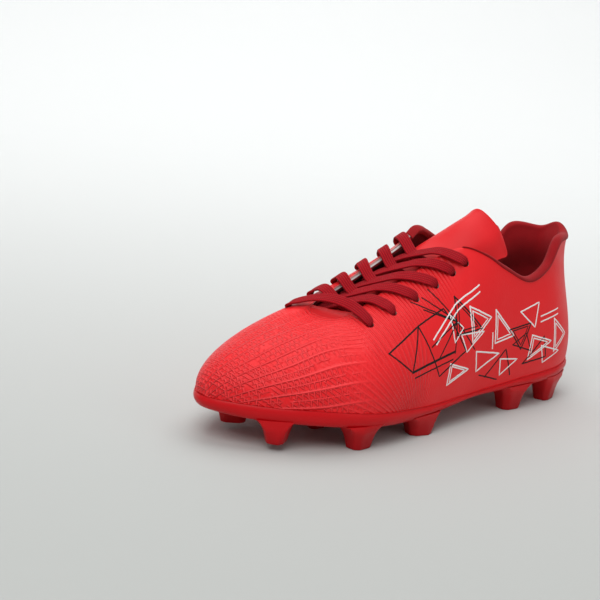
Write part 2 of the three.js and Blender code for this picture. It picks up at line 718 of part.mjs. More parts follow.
// ---------------------------------------------------------------- assembly
add("outsole", outsole(), DARK_RED, 0.4);
add("shank", shank(), GREY);
add("lasting_board", board(), GREY, 0.9);
add("sockliner_foam", sockFoam(), MAROON, 0.9);
add("sockliner_cover", sockCover(), MAROON, 0.9);
add("upper_shell", upperShell(), RED, 0.45);
add("eyestay_backing_lateral", eyestayBacking(3, 7), WHITE, 0.8);
add("eyestay_backing_medial", eyestayBacking(21, 25), WHITE, 0.8);
add("toe_puff", toePuff(), WHITE, 0.8);
add("heel_counter", heelCounter(), WHITE, 0.7);
add("vamp_lining", vampLining(), MAROON, 0.9);
add("throat_insert", throatInsert(), RED, 0.45);
add("collar_foam", collarFoam(), GREY, 0.95);
add("collar_lining", collarLining(), MAROON, 0.9);
const TONGUE_END = TONGUE_ROWS.length - 1;
const foamTop = TONGUE_SKIN + GAP;
const foamFoot = foamTop + TONGUE_FOAM;
add("tongue_shell", tongueLayer(0, TONGUE_SKIN, [0, TONGUE_END], 0), RED, 0.45);
add("tongue_foam", tongueLayer(foamTop, foamFoot, [1, TONGUE_END - 1], 0.5), GREY, 0.95);
add("tongue_lining", tongueLayer(foamFoot + GAP, foamFoot + GAP + LINING, [0, TONGUE_END], 0), MAROON, 0.9);
add("lace", lace(), LACE_RED, 0.8);
add("aglet_lateral", aglet(LATERAL), LACE_RED, 0.3);
add("aglet_medial", aglet(MEDIAL), LACE_RED, 0.3);

export default group;
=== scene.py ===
import math
from functools import reduce

import bpy
import numpy as np
from mathutils import Matrix, Vector
from mathutils.bvhtree import BVHTree


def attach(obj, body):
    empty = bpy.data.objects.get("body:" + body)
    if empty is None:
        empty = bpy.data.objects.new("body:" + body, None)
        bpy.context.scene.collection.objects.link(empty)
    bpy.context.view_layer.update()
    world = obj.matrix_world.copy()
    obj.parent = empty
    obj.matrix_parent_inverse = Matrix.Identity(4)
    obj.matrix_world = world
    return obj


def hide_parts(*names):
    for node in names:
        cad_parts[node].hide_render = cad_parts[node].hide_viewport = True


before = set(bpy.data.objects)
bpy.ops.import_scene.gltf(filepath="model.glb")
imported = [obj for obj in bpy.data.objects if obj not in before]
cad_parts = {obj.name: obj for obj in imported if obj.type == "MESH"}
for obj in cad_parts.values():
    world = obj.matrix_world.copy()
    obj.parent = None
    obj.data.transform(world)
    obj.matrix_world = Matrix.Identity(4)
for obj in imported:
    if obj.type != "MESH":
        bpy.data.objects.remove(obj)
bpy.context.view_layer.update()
SCENE = bpy.context.scene

# ---- camera ----
MM = 0.001
AZIMUTH, ELEVATION, DISTANCE = 51.0, 14.0, 985.0
AIM = Vector((-99.2, -0.5, 47.3))
ROLL = 4.8
MAGNIFICATION = 1.514
IMAGE_WIDTH = 600


def linked(name, data):
    """A new object in the scene."""
    obj = bpy.data.objects.new(name, data)
    SCENE.collection.objects.link(obj)
    return obj


def add_camera():
    """The camera that looks at the object as in the photo."""
    a, e = math.radians(AZIMUTH), math.radians(ELEVATION)
    back = Vector((math.sin(a) * math.cos(e), -math.cos(a) * math.cos(e), math.sin(e)))
    data = bpy.data.cameras.new("camera")
    camera = linked("camera", data)
    data.sensor_width = 36
    data.lens = MAGNIFICATION * DISTANCE / IMAGE_WIDTH * data.sensor_width
    data.clip_start, data.clip_end = 0.05, 20
    roll = Matrix.Rotation(math.radians(ROLL), 3, "Z")
    turn = (-back).to_track_quat("-Z", "Y").to_matrix() @ roll
    camera.matrix_world = Matrix.Translation((AIM + back * DISTANCE) * MM) @ turn.to_4x4()
    SCENE.camera = camera


add_camera()

# ---- the last ----
# Stations round the shoe: four Bezier points each, of x, distance forward of the heel and z.
STATIONS = [
    [-9, 281.5, 28, -9, 284, 46, -6, 248, 60, -4, 205, 68],
    [7, 274.5, 27.5, 9, 276, 46, 7, 240, 61, 3, 202, 67.5],
    [27, 254, 26.5, 30, 255, 45, 19, 222, 63, 8.5, 197, 68.5],
    [43, 225, 25, 46, 225, 46, 26, 198, 67, 10, 184, 73.5],
    [49, 195, 22, 52, 193, 45, 32, 174, 73, 10.5, 168, 82],
    [43, 155, 18.6, 48, 154, 46, 35, 148, 80, 11, 148, 90.5],
    [37, 120, 18.6, 43, 122, 47, 37, 128, 83, 13, 128, 101],
    [34, 100, 19.2, 40, 106, 47, 38, 114, 86, 20, 116, 107],
    [33, 82, 20.5, 38, 88, 46, 37, 98, 78, 26, 101, 102.5],
    [32, 62, 22, 38, 67, 46, 33, 78, 72, 28.5, 84, 93],
    [31, 44, 23, 37, 48, 46, 31, 56, 68, 29, 63, 84.2],
    [28, 26, 24, 34, 28, 48, 27, 37, 74, 27, 45, 90.5],
    [20, 10, 25, 25, 10, 52, 18, 26, 82, 22, 31, 105],
    [11, 3.5, 26, 13, 0, 54, 11, 18, 84, 12, 14, 105.5],
    [0, 1.5, 26, 0, -3, 54, 0, 18, 86, 0, 8.5, 109],
    [-11, 3.5, 26, -13, 0, 54, -11, 18, 84, -12, 14, 105.5],
    [-20, 10, 25, -25, 10, 52, -18, 26, 82, -22, 31, 107],
    [-28, 26, 24, -34, 28, 48, -27, 37, 74, -27, 43, 93],
    [-31, 44, 23, -37, 48, 46, -31, 56, 68, -29, 62, 86.5],
    [-32, 62, 22, -37, 67, 46, -33, 78, 74, -28.5, 84, 96],
    [-31, 82, 21, -37, 88, 47, -37, 98, 82, -27, 103, 106],
    [-30, 100, 20.5, -37, 106, 49, -38, 116, 90, -22, 118, 111],
    [-31, 125, 20, -39, 127, 50, -36, 134, 88, -16, 134, 104],
    [-36, 156, 19.5, -43, 156, 50, -35, 154, 85, -14.5, 153, 95],
    [-45, 192, 21, -49, 190, 48, -34, 177, 78, -14, 172, 86],
    [-47, 222, 24, -50, 220, 47, -30, 204, 71, -14, 188, 78.5],
    [-41, 250, 27, -43, 249, 46, -26, 228, 66, -13, 200, 73],
    [-25, 271.5, 28, -27, 273, 46, -17, 242, 62, -9.5, 206, 70],
]
PLATE_TOP = [
    [-5, 21.5], [30, 19], [62, 18.2], [90, 17.7], [120, 17.3], [150, 16.4],
    [175, 16.4], [200, 17.3], [225, 19.2], [254, 22], [270, 23.6], [290, 25.6],
]
WALL_FOOT = [
    [-5, 19], [27, 17], [53, 16], [84, 15.9], [110, 15.2], [128, 13.6], [148, 12.2],
    [175, 12.3], [195, 13.6], [220, 15.6], [245, 17.4], [268, 19], [290, 22.4],
]
HEEL_Y = 141.5
OFF_CENTRE = 1.0
COUNT = len(STATIONS)


def from_heel(points):
    p = np.array(points, float)
    return np.stack([p[..., 0] - OFF_CENTRE, HEEL_Y - p[..., 1], p[..., 2]], -1)


RIBS = from_heel(np.reshape(STATIONS, (COUNT, 4, 3)))


CATMULL = np.array([[0, 2, 0, 0], [-1, 0, 1, 0], [2, -5, 4, -1], [-1, 3, -3, 1]]) / 2


def weights(k):
    """Shares of four neighbouring points in a Catmull-Rom curve at k between the middle two."""
    return k[..., None] ** np.arange(4) @ CATMULL


def section(s):
    s = np.asarray(s, float)
    i = np.floor(s).astype(int)
    rows = RIBS[(i[..., None] + np.arange(-1, 3)) % COUNT]
    return np.einsum("...k,...kcd->...cd", weights(s - i), rows)


def bezier(c, t):
    r = 1 - t
    w = np.stack([r**3, 3 * t * r**2, 3 * t**2 * r, t**3], -1)
    return np.einsum("...c,...cd->...d", w, c)


def profile(table, y):
    """Cubic curve through [distance forward of the heel, value] pairs."""
    pairs = np.array(table, float)
    x, v = pairs.T
    back = np.clip(HEEL_Y - np.asarray(y, float), x[0], x[-1])
    slope = np.gradient(v, x)
    i = np.clip(np.searchsorted(x, back, side="right") - 1, 0, len(x) - 2)
    width = x[i + 1] - x[i]
    k = (back - x[i]) / width
    far = 3 * k**2 - 2 * k**3
    bend = (k**3 - 2 * k**2 + k) * slope[i] + (k**3 - k**2) * slope[i + 1]
    return (1 - far) * v[i] + far * v[i + 1] + bend * width


def plate_top(y):
    return profile(PLATE_TOP, y)


def wall_foot(y):
    return profile(WALL_FOOT, y)


def unit(v):
    return v / np.maximum(np.linalg.norm(v, axis=-1, keepdims=True), 1e-9)


def outward(s):
    along = section(s + 0.1)[..., 0, :] - section(s - 0.1)[..., 0, :]
    return unit(np.stack([along[..., 1], -along[..., 0], np.zeros(along.shape[:-1])], -1))


def face(s, t):
    c = section(s)
    p = bezier(c, np.clip(t, 0, 1))
    drop = c[..., 0, 2] - (plate_top(c[..., 0, 1]) + 0.3)
    p[..., 2] += drop * np.minimum(t, 0)
    return p


def rise_of(s, t):
    c = section(s)
    k = np.clip(t, 0.001, 0.999)
    up = unit(bezier(c, k + 0.001) - bezier(c, k - 0.001))
    return np.where((t <= 0)[..., None], np.array([0.0, 0.0, 1.0]), up)


def normal(s, t):
    k = np.clip(t, 0, 1)
    along = face(s + 0.02, k) - face(s - 0.02, k)
    tilted = unit(np.cross(along, rise_of(s, np.maximum(k, 1e-6))))
    return np.where((t <= 0)[..., None], outward(s), tilted)


def skin(s, t, depth=0.0, beyond=0.0):
    """A point of the upper: depth inside its outer face, beyond past the height t."""
    numbers = (np.asarray(v, float) for v in (s, t, depth, beyond))
    s, t, depth, beyond = np.broadcast_arrays(*numbers)
    p = face(s, t) - normal(s, t) * depth[..., None]
    return p + rise_of(s, t) * beyond[..., None]


def smoothstep(x, low, high):
    k = np.clip((x - low) / (high - low), 0, 1)
    return k * k * (3 - 2 * k)


def spline(points, k):
    """Catmull-Rom along the first axis of points at the values k, straight past both ends."""
    points = np.asarray(points, float)
    k = np.atleast_1d(np.asarray(k, float))
    padded = np.concatenate([[2 * points[0] - points[1]], points, [2 * points[-1] - points[-2]]])
    i = np.clip(np.floor(k).astype(int), 0, len(points) - 2)
    rows = padded[i[:, None] + np.arange(4)]
    return np.einsum("nk,nk...->n...", weights(k - i), rows)


# ---- meshes ----
def new_object(name, verts, faces, materials, indices=None, uvs=None, sharp=35):
    mesh = bpy.data.meshes.new(name)
    mesh.from_pydata((np.asarray(verts) * MM).tolist(), [], [list(map(int, f)) for f in faces])
    for material in materials:
        mesh.materials.append(material)
    if indices is not None:
        mesh.polygons.foreach_set("material_index", np.asarray(indices, np.int32))
    if uvs is not None:
        layer = mesh.uv_layers.new(name="map")
        layer.data.foreach_set("uv", np.asarray(uvs, np.float32).ravel())
    mesh.shade_smooth()
    mesh.set_sharp_from_angle(angle=math.radians(sharp))
    mesh.validate()
    return linked(name, mesh)


def crossed(a, b):
    return np.meshgrid(a, b, indexing="ij")


def grid_quads(n, m, ring, keep=None):
    """Quads over an n by m grid of points, or those of them to keep. A ring closes along n."""
    i, j = crossed(np.arange(n if ring else n - 1), np.arange(m - 1))
    if keep is not None:
        i, j = i[keep], j[keep]
    j = j.ravel()
    here, after = i.ravel() * m, (i.ravel() + 1) % n * m
    return np.stack([here + j, after + j, after + j + 1, here + j + 1], 1)


def sheet(name, outer, inner, materials, ring=False, keep=None, sharp=35):
    """A closed sheet between two grids of points (along, up, 3). The materials are one for all
    or those of outer face, inner face and cut edges."""
    n, m = outer.shape[:2]
    quads = grid_quads(n, m, ring, keep).astype(np.int64)
    starts, ends = quads.ravel(), np.roll(quads, -1, axis=1).ravel()
    total = n * m
    open_edge = ~np.isin(ends * total + starts, starts * total + ends)
    p, q = starts[open_edge], ends[open_edge]
    walls = np.stack([q, p, p + total, q + total], 1)
    faces = np.concatenate([quads, quads[:, ::-1] + total, walls])
    kinds = np.repeat([0, 1, 2], [len(quads), len(quads), len(walls)])
    verts = np.concatenate([outer.reshape(-1, 3), inner.reshape(-1, 3)])
    used, faces = np.unique(faces, return_inverse=True)
    if not isinstance(materials, list):
        materials = [materials] * 3
    return new_object(name, verts[used], faces.reshape(-1, 4), materials, kinds, sharp=sharp)


def tube_faces(n, m):
    """Faces of a tube with flat ends through n rings of m points."""
    i, j = crossed(np.arange(n - 1) * m, np.arange(m))
    i, j = i.ravel(), j.ravel()
    k = (j + 1) % m
    quads = np.stack([i + j, i + k, i + m + k, i + m + j], 1)
    return quads.tolist() + [list(range(m - 1, -1, -1)), list(range((n - 1) * m, n * m))]


def tube(name, rings, material, uv_along=None, uv_across=None, sharp=35):
    """A tube through rings of points (along, round, 3)."""
    n, m = rings.shape[:2]
    faces = tube_faces(n, m)
    uvs = None
    if uv_along is not None:
        corner = np.array(faces[:-2]).ravel()
        uvs = np.stack([uv_along[corner // m], uv_across[corner % m]], -1)
        uvs = np.concatenate([uvs, np.zeros((2 * m, 2))])
    return new_object(name, rings.reshape(-1, 3), faces, [material], uvs=uvs, sharp=sharp)


# ---- materials ----
class Look:
    """A material with a Principled shader and helpers for the pattern nodes that feed it."""

    def __init__(self, name, colour, roughness, specular, **extra):
        self.material = bpy.data.materials.new(name)
        self.material.use_nodes = True
        self.tree = self.material.node_tree
        self.shader = self.tree.nodes["Principled BSDF"]
        constants = {"Base Color": (*colour, 1), "Roughness": roughness}
        constants |= {"Specular IOR Level": specular, **extra}
        for key, value in constants.items():
            self.set(key.replace("_", " "), value)
        self.material.diffuse_color = (*colour, 1)
        self.colour = colour

    def feed(self, socket, value):
        """Links a socket to another one or sets its constant value."""
        if isinstance(value, bpy.types.NodeSocket):
            self.tree.links.new(value, socket)
        else:
            socket.default_value = value

    def set(self, key, value):
        self.feed(self.shader.inputs[key], value)

    def node(self, kind, inputs=None, **settings):
        node = self.tree.nodes.new(kind)
        for key, value in settings.items():
            setattr(node, key, value)
        for key, value in (inputs or {}).items():
            self.feed(node.inputs[key], value)
        return node

    def calc(self, operation, *values):
        return self.node("ShaderNodeMath", dict(enumerate(values)), operation=operation).outputs[0]

    def add(self, a, b):
        return self.calc("ADD", a, b)

    def less(self, a, b):
        return self.calc("SUBTRACT", a, b)

    def times(self, a, b):
        return self.calc("MULTIPLY", a, b)

    def place(self, source="Object"):
        return self.node("ShaderNodeTexCoord").outputs[source]

    def axes(self, source="Object"):
        return self.node("ShaderNodeSeparateXYZ", {0: self.place(source)}).outputs[:3]

    def step(self, value, low, high, out_low=0.0, out_high=1.0):
        inputs = {"Value": value, "From Min": low, "From Max": high}
        inputs |= {"To Min": out_low, "To Max": out_high}
        return self.node("ShaderNodeMapRange", inputs, interpolation_type="SMOOTHSTEP").outputs[0]

    def zone(self, *limits):
        """Product of smooth steps, each (value, low, high)."""
        return self.product(*(self.step(*limit) for limit in limits))

    def noise(self, scale, detail):
        inputs = {"Vector": self.place(), "Scale": scale, "Detail": detail}
        return self.node("ShaderNodeTexNoise", inputs).outputs[0]

    def cells(self, scale):
        inputs = {"Vector": self.place(), "Scale": scale}
        return self.node("ShaderNodeTexVoronoi", inputs).outputs["Distance"]

    def ridge(self, value, pitch, width):
        """1 where value is a multiple of pitch, falling to 0 a share width of it away."""
        return self.step(self.calc("PINGPONG", self.calc("DIVIDE", value, pitch), 0.5), width, 0.0)

    def bricks(self, along, across, length, row, line):
        """Joint lines of a brick pattern, all sizes in the units of along and across."""
        at = self.node("ShaderNodeCombineXYZ", {0: along, 1: across}).outputs[0]
        inputs = {"Vector": at, "Scale": 1.0, "Mortar Size": line}
        inputs |= {"Mortar Smooth": 0.7, "Brick Width": length, "Row Height": row}
        return self.node("ShaderNodeTexBrick", inputs, offset=0.37).outputs["Fac"]

    def product(self, *values):
        return reduce(self.times, values)

    def highest(self, *values):
        return reduce(lambda a, b: self.calc("MAXIMUM", a, b), values)

    def polar(self, a, b):
        """Distance and angle of a point with coordinates a and b."""
        square = self.add(self.calc("POWER", a, 2.0), self.calc("POWER", b, 2.0))
        return self.calc("SQRT", square), self.calc("ARCTAN2", a, b)

    def mix(self, factor, a, b, blend="MIX"):
        """Two colours, each a socket or three numbers, mixed by a factor."""
        a, b = (c if isinstance(c, bpy.types.NodeSocket) else (*c, 1) for c in (a, b))
        inputs = {0: factor, 6: a, 7: b}
        return self.node("ShaderNodeMix", inputs, data_type="RGBA", blend_type=blend).outputs[2]

    def bump(self, height, distance, strength=1.0):
        """Adds a bump of a height in 0..1 times a distance in metres over the earlier ones."""
        inputs = {"Height": height, "Distance": distance, "Strength": strength}
        last = self.shader.inputs["Normal"].links
        if last:
            inputs["Normal"] = last[0].from_socket
        self.set("Normal", self.node("ShaderNodeBump", inputs).outputs[0])


def vary(look, amount, scale=40.0):
    """Slight mottling of the base colour."""
    dark = tuple(c * (1 - amount) for c in look.colour)
    look.set("Base Color", look.mix(look.noise(scale, 3), look.colour, dark))


def toe_pattern(look, x, y, z):
    """Lanes from the tip of the toe backwards, with rungs across and a hatch low down."""
    lane = 0.19
    _, turn = look.polar(look.add(x, 0.01), look.less(z, 0.018))
    turn = look.add(turn, look.times(look.noise(16.0, 1), 0.26))
    rails = look.ridge(turn, lane, 0.15)
    girth = 0.045
    rungs = look.bricks(y, look.times(turn, girth), 0.003, lane * girth / 2, 0.0006)
    rungs = look.product(rungs, look.step(look.noise(150.0, 1), 0.34, 0.5))
    slanted = look.add(look.times(y, 0.8), z)
    hatch = look.ridge(slanted, 0.0032, 0.28)
    hatch = look.product(hatch, look.zone((z, 0.056, 0.04), (look.noise(110.0, 1), 0.36, 0.5)))
    zone = look.product(look.step(y, -0.046, -0.092), look.step(z, 0.075, 0.06, 0.25, 1.0))
    return look.product(look.highest(rails, look.times(rungs, 0.75), look.times(hatch, 0.7)), zone)


def ball_pattern(look, x, y, z):
    """Rays from the sole up and forwards, at the outer side of the ball of the foot."""
    reach, turn = look.polar(look.less(z, 0.002), look.add(y, 0.02))
    rays = look.ridge(turn, 0.068, 0.36)
    zone = look.zone((reach, 0.08, 0.05), (reach, 0.01, 0.026), (y, -0.008, -0.024))
    return look.product(rays, 0.5, zone, look.step(x, 0.0, 0.01))


def inner_side_pattern(look, x, y, z):
    """Rays from the top eyelet of the inner side down and forwards, with dashes between them."""
    ray, girth = 0.125, 0.05
    reach, turn = look.polar(look.less(0.088, z), look.less(0.002, y))
    rays = look.ridge(turn, ray, 0.16)
    dashes = look.bricks(reach, look.times(turn, girth), 0.0052, ray * girth / 2, 0.0007)
    dashes = look.product(dashes, look.step(look.noise(80.0, 1), 0.46, 0.56))
    zone = look.zone((x, -0.004, -0.014), (reach, 0.105, 0.08), (reach, 0.006, 0.02))
    zone = look.product(zone, look.zone((y, 0.045, 0.01), (y, -0.092, -0.06)))
    return look.product(look.highest(rays, look.times(dashes, 0.8)), zone)


def throat_pattern(look, x, y, z):
    """Fine arcs in front of the throat and fine ribs across the strips with the eyelets."""
    reach, _ = look.polar(look.add(x, 0.007), look.add(y, 0.048))
    arcs = look.ridge(reach, 0.0023, 0.4)
    arcs = look.product(arcs, 0.5, look.zone((reach, 0.05, 0.034), (y, -0.048, -0.058)))
    along = look.add(look.times(y, 0.95), look.times(z, 0.3))
    ribs = look.ridge(along, 0.0023, 0.4)
    height = look.less(z, look.times(y, 0.5))
    zone = look.zone((height, 0.068, 0.08), (y, -0.066, -0.05), (y, 0.024, 0.0), (x, -0.01, 0.0))
    return look.highest(arcs, look.product(ribs, 0.6, zone))


def upper_look():
    """Coated synthetic leather, embossed at toe, ball and throat and plain at the heel."""
    look = Look("upper_synthetic", (0.8, 0.01, 0.014), 0.45, 0.28)
    x, y, z = look.axes()
    makers = (toe_pattern, ball_pattern, inner_side_pattern, throat_pattern)
    pattern = look.highest(*(make(look, x, y, z) for make in makers))
    look.bump(pattern, 0.0011)
    grain = look.add(look.cells(900.0), look.times(look.noise(1500.0, 2), 0.6))
    look.bump(grain, 0.00008, 0.7)
    tone = look.mix(look.noise(18.0, 3), (0.82, 0.011, 0.015), (0.74, 0.008, 0.012))
    # Painted highlight: the raised lines of the embossing are painted a lighter red.
    look.set("Base Color", look.mix(look.product(pattern, 0.6), tone, (0.98, 0.055, 0.062)))
    look.set("Roughness", look.step(look.noise(60.0, 3), 0.2, 0.8, 0.4, 0.54))
    return look.material


def smooth_synthetic():
    """The same coated synthetic without the embossing, for tongue and throat."""
    look = Look("tongue_synthetic", (0.7, 0.01, 0.014), 0.5, 0.24)
    look.bump(look.cells(1100.0), 0.00006, 0.6)
    look.bump(look.noise(90.0, 2), 0.0006, 0.25)
    vary(look, 0.08)
    return look.material


def knit(name, colour, pitch):
    """A fine knitted or woven textile with its loops a pitch in metres apart."""
    look = Look(name, colour, 0.85, 0.15, Sheen_Weight=0.08, Sheen_Roughness=0.5)
    x, y, z = look.axes()
    turns = 2 * math.pi / pitch
    a = look.calc("SINE", look.times(look.add(x, y), turns))
    b = look.calc("SINE", look.times(look.add(z, look.times(y, 0.3)), turns))
    look.bump(look.calc("MULTIPLY_ADD", look.times(a, b), 0.5, 0.5), 0.00025, 0.8)
    look.bump(look.noise(2500.0, 2), 0.0001, 0.5)
    vary(look, 0.25, 120.0)
    return look.material


def lace_look():
    """A woven tape: ribs along it with slanted threads across them, with painted shade in the
    hollows between the ribs and at the threads' low parts.
    """
    sheen = {"Sheen_Weight": 0.03, "Sheen_Roughness": 0.4}
    look = Look("lace_woven", (0.5, 0.007, 0.015), 0.75, 0.1, **sheen)
    along, across, _ = look.axes("UV")
    ribs = look.calc("PINGPONG", look.times(across, 5.0), 0.5)
    rib_height = look.calc("SINE", look.times(ribs, math.pi))
    weave = look.calc("MULTIPLY_ADD", ribs, 2.2, look.times(along, 950.0))
    threads = look.calc("SINE", look.times(weave, 2 * math.pi * 0.9))
    thread_height = look.calc("MULTIPLY_ADD", threads, 0.3, 0.3)
    look.bump(look.add(look.times(rib_height, 0.7), thread_height), 0.0006)
    look.bump(look.noise(3000.0, 2), 0.00008, 0.6)
    # Painted shade: the colour darkens in the hollows between ribs and where the threads dip.
    groove_shade = look.times(look.less(1.0, rib_height), 0.8)
    thread_shade = look.highest(look.times(threads, -0.65), 0.0)
    tone = look.mix(look.highest(groove_shade, thread_shade), (0.6, 0.007, 0.018), (0.16, 0.002, 0.005))
    look.set("Base Color", tone)
    return look.material


def sole_look():
    """Moulded sole: smooth at the rim and scuffed, with painted shade darkening it towards the
    ground.
    """
    look = Look("sole_moulded", (0.6, 0.003, 0.007), 0.38, 0.2)
    look.bump(look.noise(420.0, 3), 0.00012, 0.5)
    look.bump(look.noise(60.0, 2), 0.0005, 0.2)
    look.set("Roughness", look.step(look.noise(120.0, 4), 0.3, 0.7, 0.32, 0.46))
    _, _, z = look.axes()
    # Painted shade: the base colour darkens towards the ground, over the studs and the sole's
    # underside.
    tone = look.mix(look.step(z, 0.003, 0.017), (0.4, 0.002, 0.005), look.colour)
    shade = look.mix(look.noise(25.0, 3), (1.0, 1.0, 1.0), (0.86, 0.86, 0.86))
    look.set("Base Color", look.mix(1.0, tone, shade, "MULTIPLY"))
    return look.material


def plain(name, colour, roughness, grain=900.0, depth=0.0001):
    look = Look(name, colour, roughness, 0.25)
    look.bump(look.noise(grain, 3), depth, 0.7)
    vary(look, 0.1, 90.0)
    return look.material


def foam_look():
    look = Look("foam", (0.42, 0.41, 0.4), 0.95, 0.2)
    look.bump(look.cells(700.0), 0.0004, 0.9)
    vary(look, 0.15, 200.0)
    return look.material


UPPER = upper_look()
SMOOTH = smooth_synthetic()
LINING = knit("lining_knit", (0.2, 0.006, 0.01), 0.0011)
COLLAR_TEXTILE = knit("collar_textile", (0.36, 0.005, 0.009), 0.0009)
SOCK = knit("sockliner_textile", (0.22, 0.008, 0.012), 0.0013)
LACE = lace_look()
SOLE = sole_look()
BACKING = plain("backing_tape", (0.86, 0.82, 0.8), 0.8)
CUT_EDGE = plain("cut_edge", (0.8, 0.34, 0.32), 0.7)
STIFFENER = plain("stiffener", (0.62, 0.61, 0.58), 0.6)
BOARD = plain("fibre_board", (0.4, 0.35, 0.28), 0.9, 500.0, 0.0003)
FOAM = foam_look()
TIP = plain("lace_tip", (0.42, 0.006, 0.012), 0.25, 300.0)
INK_WHITE = plain("ink_white", (0.86, 0.83, 0.82), 0.45, 1500.0, 0.00004)
INK_BLACK = plain("ink_black", (0.004, 0.003, 0.003), 0.6, 1500.0, 0.00003)

# ---- upper and its layers ----
PER_STATION = 20
ROWS_UP = 100
SHELL = 1.3
GAP = 0.3
BEHIND = SHELL + GAP
COUNTER = 1.3
EYELET_RADIUS = 2.35
PULLED, PUNCH_DEPTH = 0.62, 8
ROWS = 6
EYELET_ENDS = [[(3.4, 0.73), (6.85, 0.88)], [(25.7, 0.79), (21.5, 0.87)]]


def on_row(side, row):
    """Station and height of a point on the line of eyelets of one side, counted in rows."""
    low, high = np.array(EYELET_ENDS[side])
    return low + (high - low) * row / (ROWS - 1)


EYELET_PLACES = [on_row(side, row) for side in (0, 1) for row in range(ROWS)]
EYELETS = [(skin(s, t), normal(s, t)) for s, t in EYELET_PLACES]


def punched(grid, radius):
    """Grid points pulled onto the eyelets' rims, and which of them lay inside."""
    inside = np.zeros(grid.shape[:2], bool)
    moved = grid.copy()
    for centre, axis in EYELETS:
        offset = grid - centre
        across = offset - (offset @ axis)[..., None] * axis
        distance = np.linalg.norm(across, axis=-1)
        near = (distance < radius + PULLED) & (np.abs(offset @ axis) < PUNCH_DEPTH)
        inside |= near & (distance < radius)
        shift = across * (radius / np.maximum(distance, 1e-6) - 1)[..., None]
        moved[near] += shift[near]
    return moved, inside


def piece(obj, node, body="shoe"):
    """A piece that rides on a body and takes the place of a CAD node."""
    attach(obj, body)
    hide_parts(node)
    return obj


def layer(node, slot, s, t, outer, inner, materials, ring=False, holes=0.0, name=None):
    """A layer of the upper between two depths, each a number or a function of s and t, with
    eyelets of the radius holes."""
    grid_s, grid_t = crossed(s, t)
    pick = lambda d: d(grid_s, grid_t) if callable(d) else d
    a = skin(grid_s, grid_t, pick(outer))
    b = skin(grid_s, grid_t, pick(inner))
    keep = None
    if holes:
        a, inside = punched(a, holes)
        b, _ = punched(b, holes)
        corners = inside.astype(int)
        corners = corners + np.roll(corners, -1, 0)
        corners = (corners + np.roll(corners, -1, 1))[:, :-1]
        keep = (corners if ring else corners[:-1]) < 3
    obj = sheet(name or node + "_fine", a, b, materials, ring=ring, keep=keep)
    return piece(obj, node)


def steps(low, high, per=PER_STATION):
    return np.linspace(low, high, int(round((high - low) * per)) + 1)


LOOP = np.arange(COUNT * PER_STATION) / PER_STATION
BOTTOM = -0.9
UP = np.concatenate([np.linspace(BOTTOM, 0, 6)[:-1], np.linspace(0, 1, ROWS_UP + 1)])


def edge_roll(_, t):
    """The skin thins a little towards its cut edge."""
    return 0.35 * smoothstep(t, 0.985, 1.0)


faces_of_upper = [UPPER, LINING, CUT_EDGE]
upper = layer(
    "upper_shell", "upper", LOOP, UP, edge_roll, SHELL, faces_of_upper, True, EYELET_RADIUS, "upper"
)
TAPE, TEXTILE = 1.0, 0.8
VAMP = BEHIND + TAPE + GAP
for node, low, high in (("eyestay_backing_lateral", 3, 7), ("eyestay_backing_medial", 21, 25)):
    s, t = steps(low, high), np.linspace(0.56, 1, 60)
    layer(node, "backing", s, t, BEHIND, BEHIND + TAPE, BACKING, holes=EYELET_RADIUS + 0.1)
t = np.linspace(0.02, 0.5, 20)
layer("toe_puff", "stiffener", steps(-4, 4, 10), t, BEHIND, BEHIND + 1, STIFFENER)
t = np.linspace(BOTTOM, 0.6, 24)
layer("heel_counter", "stiffener", steps(9, 19, 10), t, BEHIND, BEHIND + COUNTER, STIFFENER)
s, t = steps(-7.95, 7.95, 12), np.concatenate([[BOTTOM, -0.4], np.linspace(0, 1, 61)])
layer("vamp_lining", "lining", s, t, VAMP, VAMP + TEXTILE, LINING, holes=EYELET_RADIUS + 0.2)

COLLAR_FROM, COLLAR_TO = 8.0, 20.0
PAD, PAD_LEAST = 4.4, 0.8


def foam_depth(s, t):
    """Thickness of the collar's padding: full in the middle, thin at its ends and top."""
    ends = np.clip(np.minimum((s - COLLAR_FROM) / 1.5, (COLLAR_TO - s) / 1.5), 0, 1)
    full = ends * smoothstep(t, 0.6, 0.85) * (1 - 0.4 * smoothstep(t, 0.88, 1.0))
    return PAD_LEAST + (PAD - PAD_LEAST) * full


def lining_depth(s, t):
    return np.maximum(BEHIND + COUNTER + GAP, BEHIND + foam_depth(s, t) + GAP)


foam_back = lambda s, t: BEHIND + foam_depth(s, t)
t = np.linspace(0.7, 0.99, 24)
foam = layer("collar_foam", "foam", steps(COLLAR_FROM, COLLAR_TO), t, BEHIND, foam_back, FOAM)

ROLL_FROM, ROLL_TO = 7.05, 21.55
ROLL_FULL_FROM, ROLL_FULL_TO, ROLL_LEAST = 9.2, 20.2, 0.12
ROLL_UP, ROLL_OUT, ROLL_DOWN = 2.6, 0.8, 1.1
IN_START, OUT_START, THINNER = 0.35, 0.3, 0.7
STRIP_LOW, STRIP_ROW = 0.975, 60


